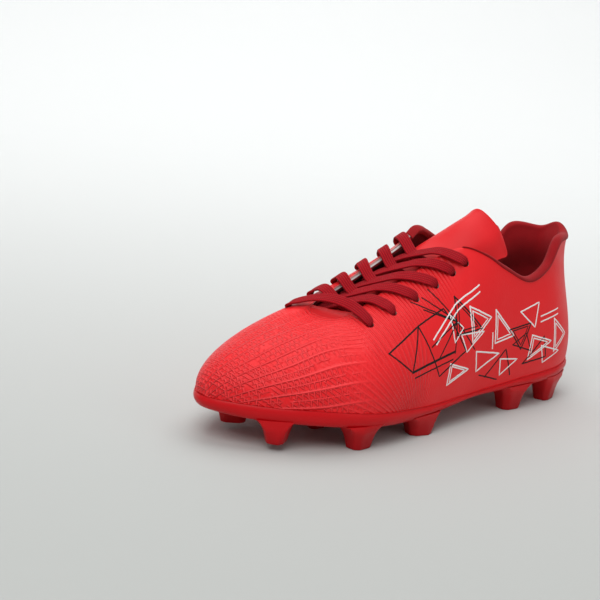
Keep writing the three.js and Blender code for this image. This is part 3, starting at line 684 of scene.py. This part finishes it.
def collar_lining():
    """Lining of heel and collar, rolled outwards over the shell's edge. In front of the lining
    proper a narrow strip behind the vamp lining carries the roll on."""
    s = steps(ROLL_FROM, ROLL_TO)
    proper = (s > COLLAR_FROM - 0.01) & (s < COLLAR_TO + 0.01)
    lower = np.linspace(BOTTOM, STRIP_LOW, STRIP_ROW + 1)
    t = np.concatenate([lower, np.linspace(STRIP_LOW, 1, 8)[1:]])
    grid_s, grid_t = crossed(s, t)
    depth = np.where(proper[:, None], lining_depth(grid_s, grid_t), VAMP + TEXTILE + 0.2)
    inner = skin(grid_s, grid_t, depth + TEXTILE)
    outer = skin(grid_s, grid_t, depth)
    size = smoothstep(s, ROLL_FROM, ROLL_FULL_FROM) * smoothstep(s, ROLL_TO, ROLL_FULL_TO)
    size = ROLL_LEAST + (1 - ROLL_LEAST) * size
    inside = depth[:, -1] + TEXTILE
    middle, reach = (inside - ROLL_OUT) / 2, (inside + ROLL_OUT) / 2
    roll_in, roll_out = [], []
    for a in np.linspace(0, math.pi, 17)[1:]:
        across, up = math.cos(a), math.sin(a) * size
        roll_in.append(skin(s, 1.0, middle + reach * across, IN_START + ROLL_UP * up))
        narrower = (reach - TEXTILE) * across
        roll_out.append(skin(s, 1.0, middle + narrower, OUT_START + (ROLL_UP - THINNER) * up))
    for k in (0.4, 0.8, 1.0):
        tuck = ROLL_OUT * (1 - 0.85 * k**3)
        down = IN_START - (IN_START + ROLL_DOWN * size) * k
        roll_in.append(skin(s, 1.0, -tuck * size, down))
        down = OUT_START - (OUT_START + (ROLL_DOWN - 0.3) * size) * k
        roll_out.append(skin(s, 1.0, -(tuck - TEXTILE) * size + 0.2, down))
    inner = np.concatenate([inner, np.stack(roll_in, 1)], 1)
    outer = np.concatenate([outer, np.stack(roll_out, 1)], 1)
    keep = np.ones((len(s) - 1, inner.shape[1] - 1), bool)
    keep[:, :STRIP_ROW] = (proper[:-1] & proper[1:])[:, None]
    return sheet("collar_lining_fine", outer, inner, COLLAR_TEXTILE, keep=keep, sharp=60)


piece(collar_lining(), "collar_lining")

INSERT_BACK, INSERT_RISE, INSERT_MIDDLE, INSERT_CROWN = 12.0, 4.6, 1.0, 1.3
INSERT_START, INSERT_THICK = -1.5, 0.8


def throat_insert():
    """A patch from under the throat's front edge back under the first lace."""
    grid_s, grid_k = crossed(np.linspace(-2, 2, 60), np.linspace(0, 1, 24))
    reach = (1 - ((grid_s - INSERT_MIDDLE) / 3) ** 2) * grid_k
    shift = reach[..., None] * np.array([0, INSERT_BACK, INSERT_RISE])
    shift[..., 2] += INSERT_CROWN * np.sin(np.pi * grid_k) * (1 - (grid_s / 2) ** 2)
    at = lambda depth: skin(grid_s, 1.0, depth, INSERT_START) + shift
    return sheet("throat_insert_fine", at(BEHIND), at(BEHIND + INSERT_THICK), SMOOTH)


piece(throat_insert(), "throat_insert")

# ---- tongue ----
# Between foot and top the tongue follows the skin, in rows of lateral and medial station, height
# of its edges and extra depth. Foot and top are points like the stations'.
TONGUE_DEPTH, TONGUE_ARCH = 8.6, 3.6
TONGUE_PAIRS = [
    [1.9, 26.4, 0.92, 0], [3, 25.4, 0.82, 0], [4, 24.3, 0.76, 0],
    [5, 23, 0.74, 0], [6, 22, 0.74, 0.4], [6.7, 21.5, 0.77, 2],
]
TONGUE_FOOT = [[[12, 203, 56.5], [7, 206, 58.5], [-3, 209, 59.5], [-11, 210, 59], [-16, 209, 57.5]]]
TONGUE_TOP = [
    [[22, 88, 97], [17, 96, 109], [2, 103, 116], [-14, 98, 110], [-20.5, 90, 97]],
    [[20.5, 77, 99], [16.5, 85, 113.5], [3, 92, 123], [-13, 87, 114], [-19.5, 79, 99]],
    [[18, 74, 103], [14.5, 82, 117], [3.5, 88.5, 126], [-11, 84, 117.5], [-17, 76, 103]],
]


def tongue_row(row):
    lateral, medial, edge, deeper = row
    depth = TONGUE_DEPTH + deeper
    points = skin([lateral, lateral, medial, medial], [edge, 1, 1, edge], depth)
    centre = (points[1] + points[2]) / 2 + [0, 0, TONGUE_ARCH]
    return [points[0], points[1], centre, points[2], points[3]]


TONGUE_MIDDLE = [tongue_row(row) for row in TONGUE_PAIRS]
TONGUE_ROWS = np.concatenate([from_heel(TONGUE_FOOT), TONGUE_MIDDLE, from_heel(TONGUE_TOP)])
TONGUE_END = len(TONGUE_ROWS) - 1


def tongue_grid(v, w):
    """Points and normals of the tongue's outer face, with rounded upper corners."""
    rows = spline(TONGUE_ROWS, v)
    corner = np.clip((v - (TONGUE_END - 1.1)) / 1.1, 0, 1)
    foot = np.clip((0.6 - v) / 0.6, 0, 1)
    shrink = 1 - 0.40 * (1 - np.sqrt(1 - corner**2)) - 0.2 * foot**2
    points = np.stack([spline(row, 2 + (w - 2) * k) for row, k in zip(rows, shrink)])
    return points, unit(np.cross(*np.gradient(points, axis=(0, 1))))


TONGUE_SKIN, TONGUE_PAD, TONGUE_LINING = 0.9, 3.6, 0.7


def pad_of_tongue(v, w):
    """How full the padding is, from 0 along the sewn edges to 1 inside."""
    sides = smoothstep(w, 0.02, 1.2) * smoothstep(4 - w, 0.02, 1.2)
    return sides[None, :] * (smoothstep(TONGUE_END - v, 0.04, 1.0) * smoothstep(v, 0, 0.5))[:, None]


def tongue_layer(node, top, foot, material):
    """A layer between two depths, each a fixed part and a share of the padding."""
    v = np.linspace(0, TONGUE_END, 170)
    w = np.linspace(0, 4, 70)
    points, out = tongue_grid(v, w)
    full = pad_of_tongue(v, w) * TONGUE_PAD
    outer = points - out * (top[0] + top[1] * full)[..., None]
    inner = points - out * (foot[0] + foot[1] * full)[..., None]
    return piece(sheet(node + "_fine", outer, inner, material), node, "tongue")


PAD_FRONT, PAD_BACK, TONGUE_BACK = TONGUE_SKIN + 0.03, TONGUE_SKIN + 0.12, TONGUE_SKIN + 0.15
tongue_layer("tongue_shell", (0, 0), (TONGUE_SKIN, 0), SMOOTH)
pad = tongue_layer("tongue_foam", (PAD_FRONT, 0), (PAD_BACK, 0.97), FOAM)
tongue_layer("tongue_lining", (TONGUE_BACK, 1), (TONGUE_BACK + TONGUE_LINING, 1), LINING)

# ---- lace ----
# A ribbon through keys (point, width, direction of its width). Depths are those of its middle
# from the skin. LOOP_OUT and LOOP_BACK shape its bends over the throat's edges.
LACE_WIDTH, LACE_THICK, LACE_PINCH = 7.4, 1.6, 3.6
SLANT = [-0.55, 0.55]
LACE_OVER, LACE_UNDER = -2.2, 6.15
LOOP_OUT = [0.2, 1.4]
LOOP_BACK = [-0.08, 0.26]
TAIL_BELOW, TAIL_END = 0.07, 1.7
BAR_ARCH = 22.4
THROAT_LINE = np.array([0, 0.9, 0.43])
THROAT_UP = np.array([0, -0.43, 0.9])
LATERAL, MEDIAL = 0, 1


def place(side, v, k, depth, beyond=0.0):
    """A point near the eyelets: v is the row, k goes from the eyelets to the throat edge."""
    s, t = on_row(side, v)
    return skin(s + SLANT[side] * max(0, k), t + (1 - t) * k, depth, beyond)


def between(side, f, v, h):
    """A point a share f of the way over the throat, raised by h."""
    ends = place(side, v, 1, 0), place(1 - side, v, 1, 0)
    return ends[0] * (1 - f) + ends[1] * f + THROAT_UP * h


def key(p, width=LACE_WIDTH, across=THROAT_LINE):
    return p, width, across


def into_eyelet(side, row):
    """Keys over the throat's edge, down the outer face and in through an eyelet."""
    back, out = LOOP_BACK[side], LOOP_OUT[side]
    return [
        key(place(side, row + back, 0.72, LACE_OVER - out)),
        key(place(side, row + back * 0.5, 0.4, LACE_OVER - out * 0.4)),
        key(place(side, row, 0.13, LACE_OVER), 6.2),
        key(place(side, row, 0, 0.9), LACE_PINCH),
        key(place(side, row, 0, 4.8), LACE_PINCH),
    ]


def crossing(side, row):
    """Keys from an eyelet, out from under the throat's edge and over to the next row."""
    rises = [-2.6, -0.6, 1, 2.3] if side == MEDIAL else [-3.3, -2.3, 0.2, 3.8]
    back = LOOP_BACK[1 - side]
    over = [(0.27, 0.35), (0.5, 0.5), (0.74, 0.71 + back * 0.5), (0.93, 0.87 + back)]
    return [
        key(place(side, row + 0.05, 0.4, LACE_UNDER + 0.4), 6.2),
        key(place(side, row + 0.16, 1, LACE_UNDER - 0.2, 0.5)),
        *(key(between(side, f, row + v, rise)) for (f, v), rise in zip(over, rises)),
        *into_eyelet(1 - side, row + 1),
    ]


# Stops of a tail: row, how far below the eyelets, extra depth and width.
TAIL_WIDTHS = [(4.4, 6.6), (3.7, 6.8), (3, 6.8), (2.3, 6.8), (TAIL_END, 2.4)]
TAIL_STOPS = [(4.85, 0.03, 0.9, 4.6), *((v, TAIL_BELOW, 0.3, width) for v, width in TAIL_WIDTHS)]


def in_tail(side, v, below, depth):
    s, t = on_row(side, v)
    return skin(s, t - below, depth)


def tail(side):
    """Keys down the inside of the upper, where the ribbon turns to lie flat against it."""
    keys = []
    for i, (v, below, deeper, width) in enumerate(TAIL_STOPS):
        above, under = (in_tail(side, v, TAIL_BELOW + step, LACE_UNDER) for step in (-0.02, 0.02))
        turn = min(1, (i + 1) / 2)
        across = unit(THROAT_LINE * (1 - turn) + unit(above - under) * turn)
        keys.append(key(in_tail(side, v, below, LACE_UNDER + deeper), width, across))
    return keys


def half_lace(start):
    """Keys from the middle of the front bar, zigzag up the rows and down one tail."""
    out = place(start, 0, 0.45, LACE_OVER)
    far = place(1 - start, 0, 0.45, LACE_OVER)
    shares = (0.5, 0.36, 0.22, 0.1)
    bar = [key(out * (1 - f) + far * f + [0, 0, BAR_ARCH * f * (1 - f)]) for f in shares]
    keys = bar + into_eyelet(start, 0)[2:]
    for row in range(ROWS - 1):
        keys += crossing(1 - start if row % 2 else start, row)
    return keys + tail(1 - start)


LACE_KEYS = half_lace(MEDIAL)[:0:-1] + half_lace(LATERAL)
LACE_STEPS = 12
LACE_SOFTNESS = 70
LACE_SIDES = 20


def ribbon_section(width, height):
    """A flat oval with fuller edges, as (across, up) pairs."""
    a = np.linspace(0, 2 * math.pi, LACE_SIDES, endpoint=False)
    x = np.sign(np.cos(a)) * np.abs(np.cos(a)) ** 0.42
    z = np.sign(np.sin(a)) * np.abs(np.sin(a)) ** 0.75
    return np.stack([x * width / 2, z * height / 2 * (0.86 + 0.14 * x**2)], -1)


def make_lace():
    """The ribbon along the keys, smoothed most where it is wide and free."""
    points, widths, acrosses = (np.array(column) for column in zip(*LACE_KEYS))
    count = len(points)
    k = np.linspace(0, count - 1, (count - 1) * LACE_STEPS + 1)
    centre = spline(points, k)
    i = np.minimum(np.floor(k).astype(int), count - 2)
    mix = smoothstep(k - i, 0, 1)
    blend = lambda values: (values[i].T * (1 - mix) + values[i + 1].T * mix).T
    free = blend(smoothstep(widths, LACE_PINCH, LACE_WIDTH))[1:-1, None] ** 2
    for _ in range(LACE_SOFTNESS):
        centre[1:-1] += free * 0.5 * ((centre[2:] + centre[:-2]) / 2 - centre[1:-1])
    forward = unit(np.gradient(centre, axis=0))
    wide = blend(acrosses)
    wide = unit(wide - (wide * forward).sum(-1, keepdims=True) * forward)
    width = blend(widths)
    height = LACE_THICK + 0.5 * (LACE_WIDTH - width) / (LACE_WIDTH - LACE_PINCH)
    rings = []
    for p, a, b, w, h in zip(centre, wide, np.cross(forward, wide), width, height):
        flat = ribbon_section(w, h)
        rings.append(p + flat[:, :1] * a + flat[:, 1:] * b)
    across = ribbon_section(1, 1)[:, 0] + 0.5
    pieces = np.linalg.norm(np.diff(centre, axis=0), axis=1)
    travelled = np.concatenate([[0], np.cumsum(pieces)]) * MM
    return tube("lace_fine", np.array(rings), LACE, travelled, across)


piece(make_lace(), "lace")


def aglet(side):
    start = in_tail(side, TAIL_END - 0.02, TAIL_BELOW, LACE_UNDER + 0.3)
    end = in_tail(side, TAIL_END - 1.2, TAIL_BELOW, LACE_UNDER + 0.3)
    axis = unit(end - start)
    a = unit(np.cross(axis, [0, 0, 1.0]))
    b = np.cross(axis, a)
    turn = np.linspace(0, 2 * math.pi, 24, endpoint=False)
    circle = np.cos(turn)[:, None] * a + np.sin(turn)[:, None] * b
    stops = [(0.3, 0.8), (0.5, 1.05), (1, 1.1), (18.5, 1.1), (19.6, 1.0), (20.2, 0.75)]
    rings = np.array([start + axis * d + circle * r for d, r in stops])
    node = ("aglet_lateral", "aglet_medial")[side]
    piece(tube(node + "_fine", rings, TIP), node)


aglet(LATERAL)
aglet(MEDIAL)

# ---- sole ----
LIP_OUT = 1.1
SOLE_RING = np.arange(COUNT * 12) / 12


def rim(s, out, z):
    """The outline of the foot pushed outwards, at heights from a function of y."""
    p = section(s)[..., 0, :] + outward(s) * out
    p[..., 2] = z(p[..., 1])
    return p


def spine(s, z):
    """The line down the middle of the outline, a little shorter than it."""
    ends = section(s)[..., 0, :], section(COUNT - s)[..., 0, :]
    p = (ends[0] + ends[1]) / 2
    p[..., 1] *= 0.8
    p[..., 2] = z(p[..., 1])
    return p


def plate(name, low, rings, high, material):
    """A plate from rings (outwards, height function), closed on the line down its middle."""
    s = SOLE_RING
    edge = [rim(s, out, z) for out, z in rings]
    shares = np.linspace(0, 1, 5)[1:-1]
    lower = [spine(s, low) + (edge[0] - spine(s, low)) * k for k in shares**0.6]
    upper_rings = [edge[-1] + (spine(s, high) - edge[-1]) * k for k in shares]
    for ring in lower:
        ring[..., 2] = low(ring[..., 1])
    for ring in upper_rings:
        ring[..., 2] = high(ring[..., 1])
    grid = np.stack([spine(s, low), *lower, *edge, *upper_rings, spine(s, high)], 1)
    quads = grid_quads(*grid.shape[:2], True)
    return new_object(name, grid.reshape(-1, 3), quads, [material], sharp=40)


def up_from(base, offset):
    return lambda y: base(y) + offset


def part_way(low, high, k):
    return lambda y: low(y) + (high(y) - low(y)) * k


def rim_height(offset):
    """Height of the upper's lower edge round the outline."""
    return lambda _: section(SOLE_RING)[..., 0, 2] + offset


def outsole_plate():
    foot, top = wall_foot, rim_height(0)
    under = [(12, -1.2), (6.5, -1.05), (4.2, -0.8), (2.6, -0.3), (1.5, 0.5), (0.75, 1.6)]
    wall = [(0.25, 0.35), (0, 0.55), (0.1, 0.75)]
    over = [(0.45, -1.2), (0.75, -0.4), (1.05, -0.05)]
    rings = [(LIP_OUT - d, up_from(foot, h)) for d, h in under]
    rings += [(LIP_OUT - d, part_way(foot, top, k)) for d, k in wall]
    rings += [(LIP_OUT - d, rim_height(h)) for d, h in over]
    rings += [(0.5, rim_height(0)), (0.3, rim_height(-0.2)), (0.3, plate_top), (-10, plate_top)]
    return plate("outsole_plate", up_from(foot, -1.2), rings, plate_top, SOLE)


# Studs: x, distance forward of the heel, height of the tip above the ground, size and turn.
STUDS = [
    [22, 248, 4.5, 1, 35], [-19, 249, 4, 1, -35],
    [40, 202, 0, 1, 8], [-37, 204, 0, 1, -8], [2, 203, 0, 0.7, 0],
    [37, 153, 0, 1, -12], [-29, 158, 0, 1, 10],
    [24, 64, 0, 1, 0], [-24, 64, 0, 1, 0], [19, 26, 0, 1, 22], [-19, 26, 0, 1, -22],
]
STUD_TIP = np.array([5.3, 7.2])
STUD_BASE = np.array([11.5, 15.0])


def stud_outline(half):
    """Rectangle with cut corners, each corner slightly rounded."""
    w, l = half
    straight, soft = 0.58, 0.16
    x, y = w * straight, l * straight
    side = np.array([[w, -y], [w, y], [x, l], [-x, l]])
    corners = np.concatenate([side, -side])
    before, after = np.roll(corners, 1, 0), np.roll(corners, -1, 0)
    a = corners + (before - corners) * soft
    b = corners + (after - corners) * soft
    middle = (a + b + 2 * corners) / 4
    return np.stack([a, middle, b], 1).reshape(-1, 2)


def stud(x, back, tip, size, turn):
    """Rings of a stud from the rounded edge of its tip to inside the plate, flaring upwards."""
    y = HEEL_Y - back
    root = float(wall_foot(y)) + 1.0
    heights = [0, 0, 0, 0.15, 0.5, *np.linspace(0.1, 1, 12) * (root - tip)]
    levels = []
    for h, shrink in zip(heights, [0.02, 0.55, 0.93, 0.975] + [1] * 13):
        k = h / (root - tip)
        half = STUD_TIP + (STUD_BASE - STUD_TIP) * (0.45 * k + 0.55 * k**4)
        outline = stud_outline(half * size * shrink)
        levels.append(np.column_stack([outline, np.full(len(outline), tip + h)]))
    a = math.radians(turn)
    spin = np.array([[math.cos(a), -math.sin(a), 0], [math.sin(a), math.cos(a), 0], [0, 0, 1]])
    rings = np.array(levels) @ spin.T + [x - OFF_CENTRE, y, 0]
    # Points past the sole's rim are drawn back to it, so that the stud runs on from the wall.
    s = np.arange(COUNT * 40) / 40
    edge = section(s)[:, 0, :2] + outward(s)[:, :2] * (LIP_OUT - 0.5)
    flat = rings[..., :2].reshape(-1, 2)
    nearest = np.linalg.norm(flat[:, None] - edge[None], axis=-1).argmin(1)
    facing = outward(s[nearest])[:, :2]
    past = np.maximum(0, ((flat - edge[nearest]) * facing).sum(-1))
    rings[..., :2] -= (facing * past[:, None]).reshape(rings[..., :2].shape)
    return rings


piece(outsole_plate(), "outsole")
for number, row in enumerate(STUDS):
    obj = tube(f"stud_{number + 1}", stud(*row), SOLE, sharp=28)
    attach(obj, "shoe")

# Inner face of the linings, then heights above the sole's inner face.
INSIDE = -(SHELL + COUNTER + TEXTILE + 3 * GAP)
BOARD_THICK, SOCK_THICK, COVER_THICK, SOLE_GAP = 1.6, 3.0, 0.8, 0.5
BOARD_LOW = 2.2
SOCK_LOW = BOARD_LOW + BOARD_THICK + SOLE_GAP
COVER_LOW = SOCK_LOW + SOCK_THICK + SOLE_GAP


def cup(y):
    """How far the sockliner's edge stands up."""
    return 4 + 5 * smoothstep(y, -40, 60)


def inlay(node, body, low, near, high, material):
    """A plate within the linings. Its rings are counted inwards from their inner face."""
    rings = [(INSIDE - inwards, z) for inwards, z in near]
    piece(plate(node + "_fine", low, rings, high, material), node, body)


def on_plate(low, thick):
    return up_from(plate_top, low), up_from(plate_top, low + thick)


def board():
    low, high = on_plate(BOARD_LOW, BOARD_THICK)
    near = [(GAP + 0.6, low), (GAP, up_from(low, 0.5)), (GAP, high)]
    inlay("lasting_board", "shoe", low, near, high, BOARD)


def sock_foam():
    low, high = on_plate(SOCK_LOW, SOCK_THICK)
    lip = lambda y: low(y) + cup(y)
    near = [(4.0, low), (2.4, up_from(low, 0.6)), (1.8, up_from(low, 1.6)), (1.7, lip)]
    near += [(2.2, up_from(lip, 0.15)), (2.7, lip), (4.2, part_way(high, lip, 0.4)), (7.5, high)]
    inlay("sockliner_foam", "sockliner", low, near, high, FOAM)


def sock_cover():
    low, high = on_plate(COVER_LOW, COVER_THICK)
    lip = lambda y: plate_top(y) + SOCK_LOW + cup(y) + SOLE_GAP
    near = [(9, low), (5.2, part_way(low, lip, 0.35)), (3.5, lip), (4.1, up_from(lip, 0.2))]
    near += [(5.9, part_way(high, lip, 0.4)), (9.6, high)]
    inlay("sockliner_cover", "sockliner", low, near, high, SOCK)


board()
sock_foam()
sock_cover()
shank_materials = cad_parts["shank"].data.materials
shank_materials.clear()
shank_materials.append(STIFFENER)

# ---- lines on the side ----
UPPER_VERTS = [v.co for v in upper.data.vertices]
SURFACE = BVHTree.FromPolygons(UPPER_VERTS, [p.vertices[:] for p in upper.data.polygons])


def on_side(back, z):
    """The upper's point and normal seen from the lateral side."""
    start = Vector((0.2, (HEEL_Y - back) * MM, z * MM))
    hit, out, _, _ = SURFACE.ray_cast(start, Vector((-1, 0, 0)))
    return np.array(hit) / MM, np.array(out)


INK_HEIGHT, INK_FOOT, INK_DEPTH = 0.09, 0.01, 0.15
INK_TOP, INK_END, INK_STEP, INK_WOBBLE = 0.8, 0.4, 1.5, 0.05


def stroke(points, width, closed, wobble):
    """Rings of a thin raised line over the lateral side through points like the shapes'."""
    if closed:
        points = np.concatenate([points, points[:1]])
    lengths = np.linalg.norm(np.diff(points, axis=0), axis=1)
    line = []
    for a, b, length in zip(points[:-1], points[1:], lengths):
        count = max(2, int(length / INK_STEP))
        line += [a + (b - a) * k for k in np.linspace(0, 1, count, endpoint=False)]
    line = np.array([*line, points[-1]])
    line[1:-1] += wobble.normal(0, INK_WOBBLE, line[1:-1].shape)
    at, out = np.array([on_side(*p) for p in line]).transpose(1, 0, 2)
    out = unit(out)
    ahead = unit(np.gradient(at, axis=0))
    across = unit(np.cross(ahead, out)) * width / 2
    at[0] -= ahead[0] * width * INK_END
    at[-1] += ahead[-1] * width * INK_END
    foot, top, under = at + out * INK_FOOT, at + out * INK_HEIGHT, at - out * INK_DEPTH
    narrow = across * INK_TOP
    return np.stack([foot - across, top - narrow, top + narrow, foot + across, under], 1)


def strokes(name, shapes, material, seed):
    """All the lines of one colour as one object."""
    wobble = np.random.default_rng(seed)
    verts, faces, start = [], [], 0
    for width, closed, points in shapes:
        rings = stroke(points, width, closed, wobble)
        n, m = rings.shape[:2]
        faces += [[start + v for v in corners] for corners in tube_faces(n, m)]
        verts.append(rings.reshape(-1, 3))
        start += n * m
    obj = new_object(name, np.concatenate(verts), faces, [material], sharp=80)
    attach(obj, "shoe")


# Outlined triangles and bars in groups of (line width, closed, shapes). Each shape lists distance
# forward of the heel and z of its points.
WHITE_SHAPES = [
    (1, True, [
        [118, 74, 100, 66, 116, 52], [96, 70, 78, 52, 95, 49], [112, 46, 90, 42, 110, 33],
        [136, 42, 118, 36, 138, 29],
    ]),
    (0.92, True, [
        [72, 66, 54, 70, 58, 55], [60, 50, 40, 44, 62, 34], [38, 58, 22, 46, 36, 36],
        [88, 38, 72, 36, 86, 27],
    ]),
    (0.85, True, [[134, 70, 132, 54, 124, 62]]),
    (1, False, [[150, 58, 128, 76, 110, 86], [148, 55, 127, 72.5, 110, 82]]),
    (0.85, False, [[52, 61, 34, 64], [52, 57.5, 34, 60.5], [98, 56, 97, 46]]),
    (0.85, True, [[126, 58, 106, 58, 121, 47], [50, 42, 30, 36, 46, 30]]),
]
BLACK_SHAPES = [
    (1, True, [[186, 54, 160, 66, 170, 42]]),
    (1, False, [[160, 66, 138, 74, 122, 48, 146, 36, 160, 66]]),
    (1.43, False, [[170, 42, 132, 49]]),
    (0.85, False, [[168, 38.5, 134, 44.5]]),
    (1, True, [[128, 80, 108, 60, 130, 58], [82, 56, 62, 58, 70, 42]]),
    (1, False, [[100, 28, 84, 44, 76, 26], [66, 32, 48, 48, 44, 34, 66, 32]]),
    (0.85, False, [[150, 80, 129, 66], [144, 84, 129, 66], [152, 74, 129, 66, 132, 48]]),
    (0.85, True, [[78, 46, 66, 52, 60, 40]]),
    (0.85, False, [
        [129, 66, 152, 54], [129, 66, 146, 47], [129, 66, 114, 48], [158, 78, 129, 66],
        [106, 30, 88, 24.5],
    ]),
]
INNER_WIDTH, INNER_SIZE = 0.75, 0.72


def with_inner(groups, doubled):
    """All the shapes one by one, followed by thinner outlines inside the doubled ones."""
    shapes = [(*style, np.reshape(p, (-1, 2))) for *style, many in groups for p in many]
    for _, closed, points in [shapes[index] for index in doubled]:
        middle = points.mean(0)
        shapes.append((INNER_WIDTH, closed, middle + (points - middle) * INNER_SIZE))
    return shapes


strokes("lines_white", with_inner(WHITE_SHAPES, [0, 1, 3, 5, 6]), INK_WHITE, 3)
strokes("lines_black", with_inner(BLACK_SHAPES, [4, 5]), INK_BLACK, 5)

# ---- floor and light ----
FLOOR = 15000
FLOOR_FRONT, BEND_FROM, BEND_RADIUS, WALL_TOP, HALF_WIDTH = -2500, 900, 700, 3200, 3500
SHEET_LOW, FLOOR_LOW = 0.02, 0.6


def backdrop():
    """A pale floor that curves up into a wall behind the object, and flat ground all round. Its
    colour holds painted shade, darker towards the camera and round the object.
    """
    curve = [(FLOOR_FRONT, 0), (BEND_FROM, 0)]
    for a in np.linspace(0, 90, 13)[1:]:
        r = math.radians(a)
        curve.append((BEND_FROM + BEND_RADIUS * math.sin(r), BEND_RADIUS * (1 - math.cos(r))))
    curve.append((BEND_FROM + BEND_RADIUS, WALL_TOP))
    a = math.radians(AZIMUTH)
    back = np.array([-math.sin(a), math.cos(a)])
    side = np.array([math.cos(a), math.sin(a)]) * HALF_WIDTH
    verts = [[*(back * d + side * k), h - SHEET_LOW] for d, h in curve for k in (-1, 1)]
    faces = [[2 * i, 2 * i + 1, 2 * i + 3, 2 * i + 2] for i in range(len(curve) - 1)]
    look = Look("backdrop", (0.7, 0.71, 0.7), 0.8, 0.1)
    x, y, _ = look.axes()
    away = look.add(look.times(x, float(back[0])), look.times(y, float(back[1])))
    reach, _ = look.polar(x, y)
    # Painted shade: the floor darkens towards the camera and round the object, and is pale far off
    # and up the wall.
    pale = look.highest(look.step(away, -0.45, 1.3), look.step(reach, 0.9, 2.3))
    look.set("Base Color", look.mix(pale, (0.42, 0.43, 0.415), (0.93, 0.94, 0.935)))
    far = [[FLOOR * i, FLOOR * j, -FLOOR_LOW] for i, j in ((-1, -1), (1, -1), (1, 1), (-1, 1))]
    for name, points, quads in (("backdrop", verts, faces), ("floor_far", far, [[0, 1, 2, 3]])):
        new_object(name, points, quads, [look.material], sharp=80)


LIGHTS_AIM = Vector((0, 0, 0.05))


def area_light(name, where, size, power):
    """A soft box turned towards the object. Place and size in metres, power in watts."""
    data = bpy.data.lights.new(name, "AREA")
    data.shape = "RECTANGLE"
    data.size, data.size_y = size
    data.energy = power
    obj = linked(name, data)
    obj.location = where
    obj.rotation_mode = "QUATERNION"
    obj.rotation_quaternion = (LIGHTS_AIM - Vector(where)).to_track_quat("-Z", "Y")


backdrop()
area_light("key", (0.7, -1.1, 1.5), (1.2, 1.0), 19)
area_light("over", (-0.2, 0.2, 1.6), (1.6, 1.6), 17)
area_light("fill", (1.5, 0.5, 0.7), (0.9, 1.2), 2.4)
area_light("left", (-1.3, -0.9, 0.8), (0.9, 1.2), 3)
world = bpy.data.worlds.new("studio")
world.use_nodes = True
sky = world.node_tree.nodes["Background"].inputs
sky["Color"].default_value = (0.93, 0.95, 0.96, 1)
sky["Strength"].default_value = 0.38
SCENE.world = world
SCENE.view_settings.view_transform = "Standard"
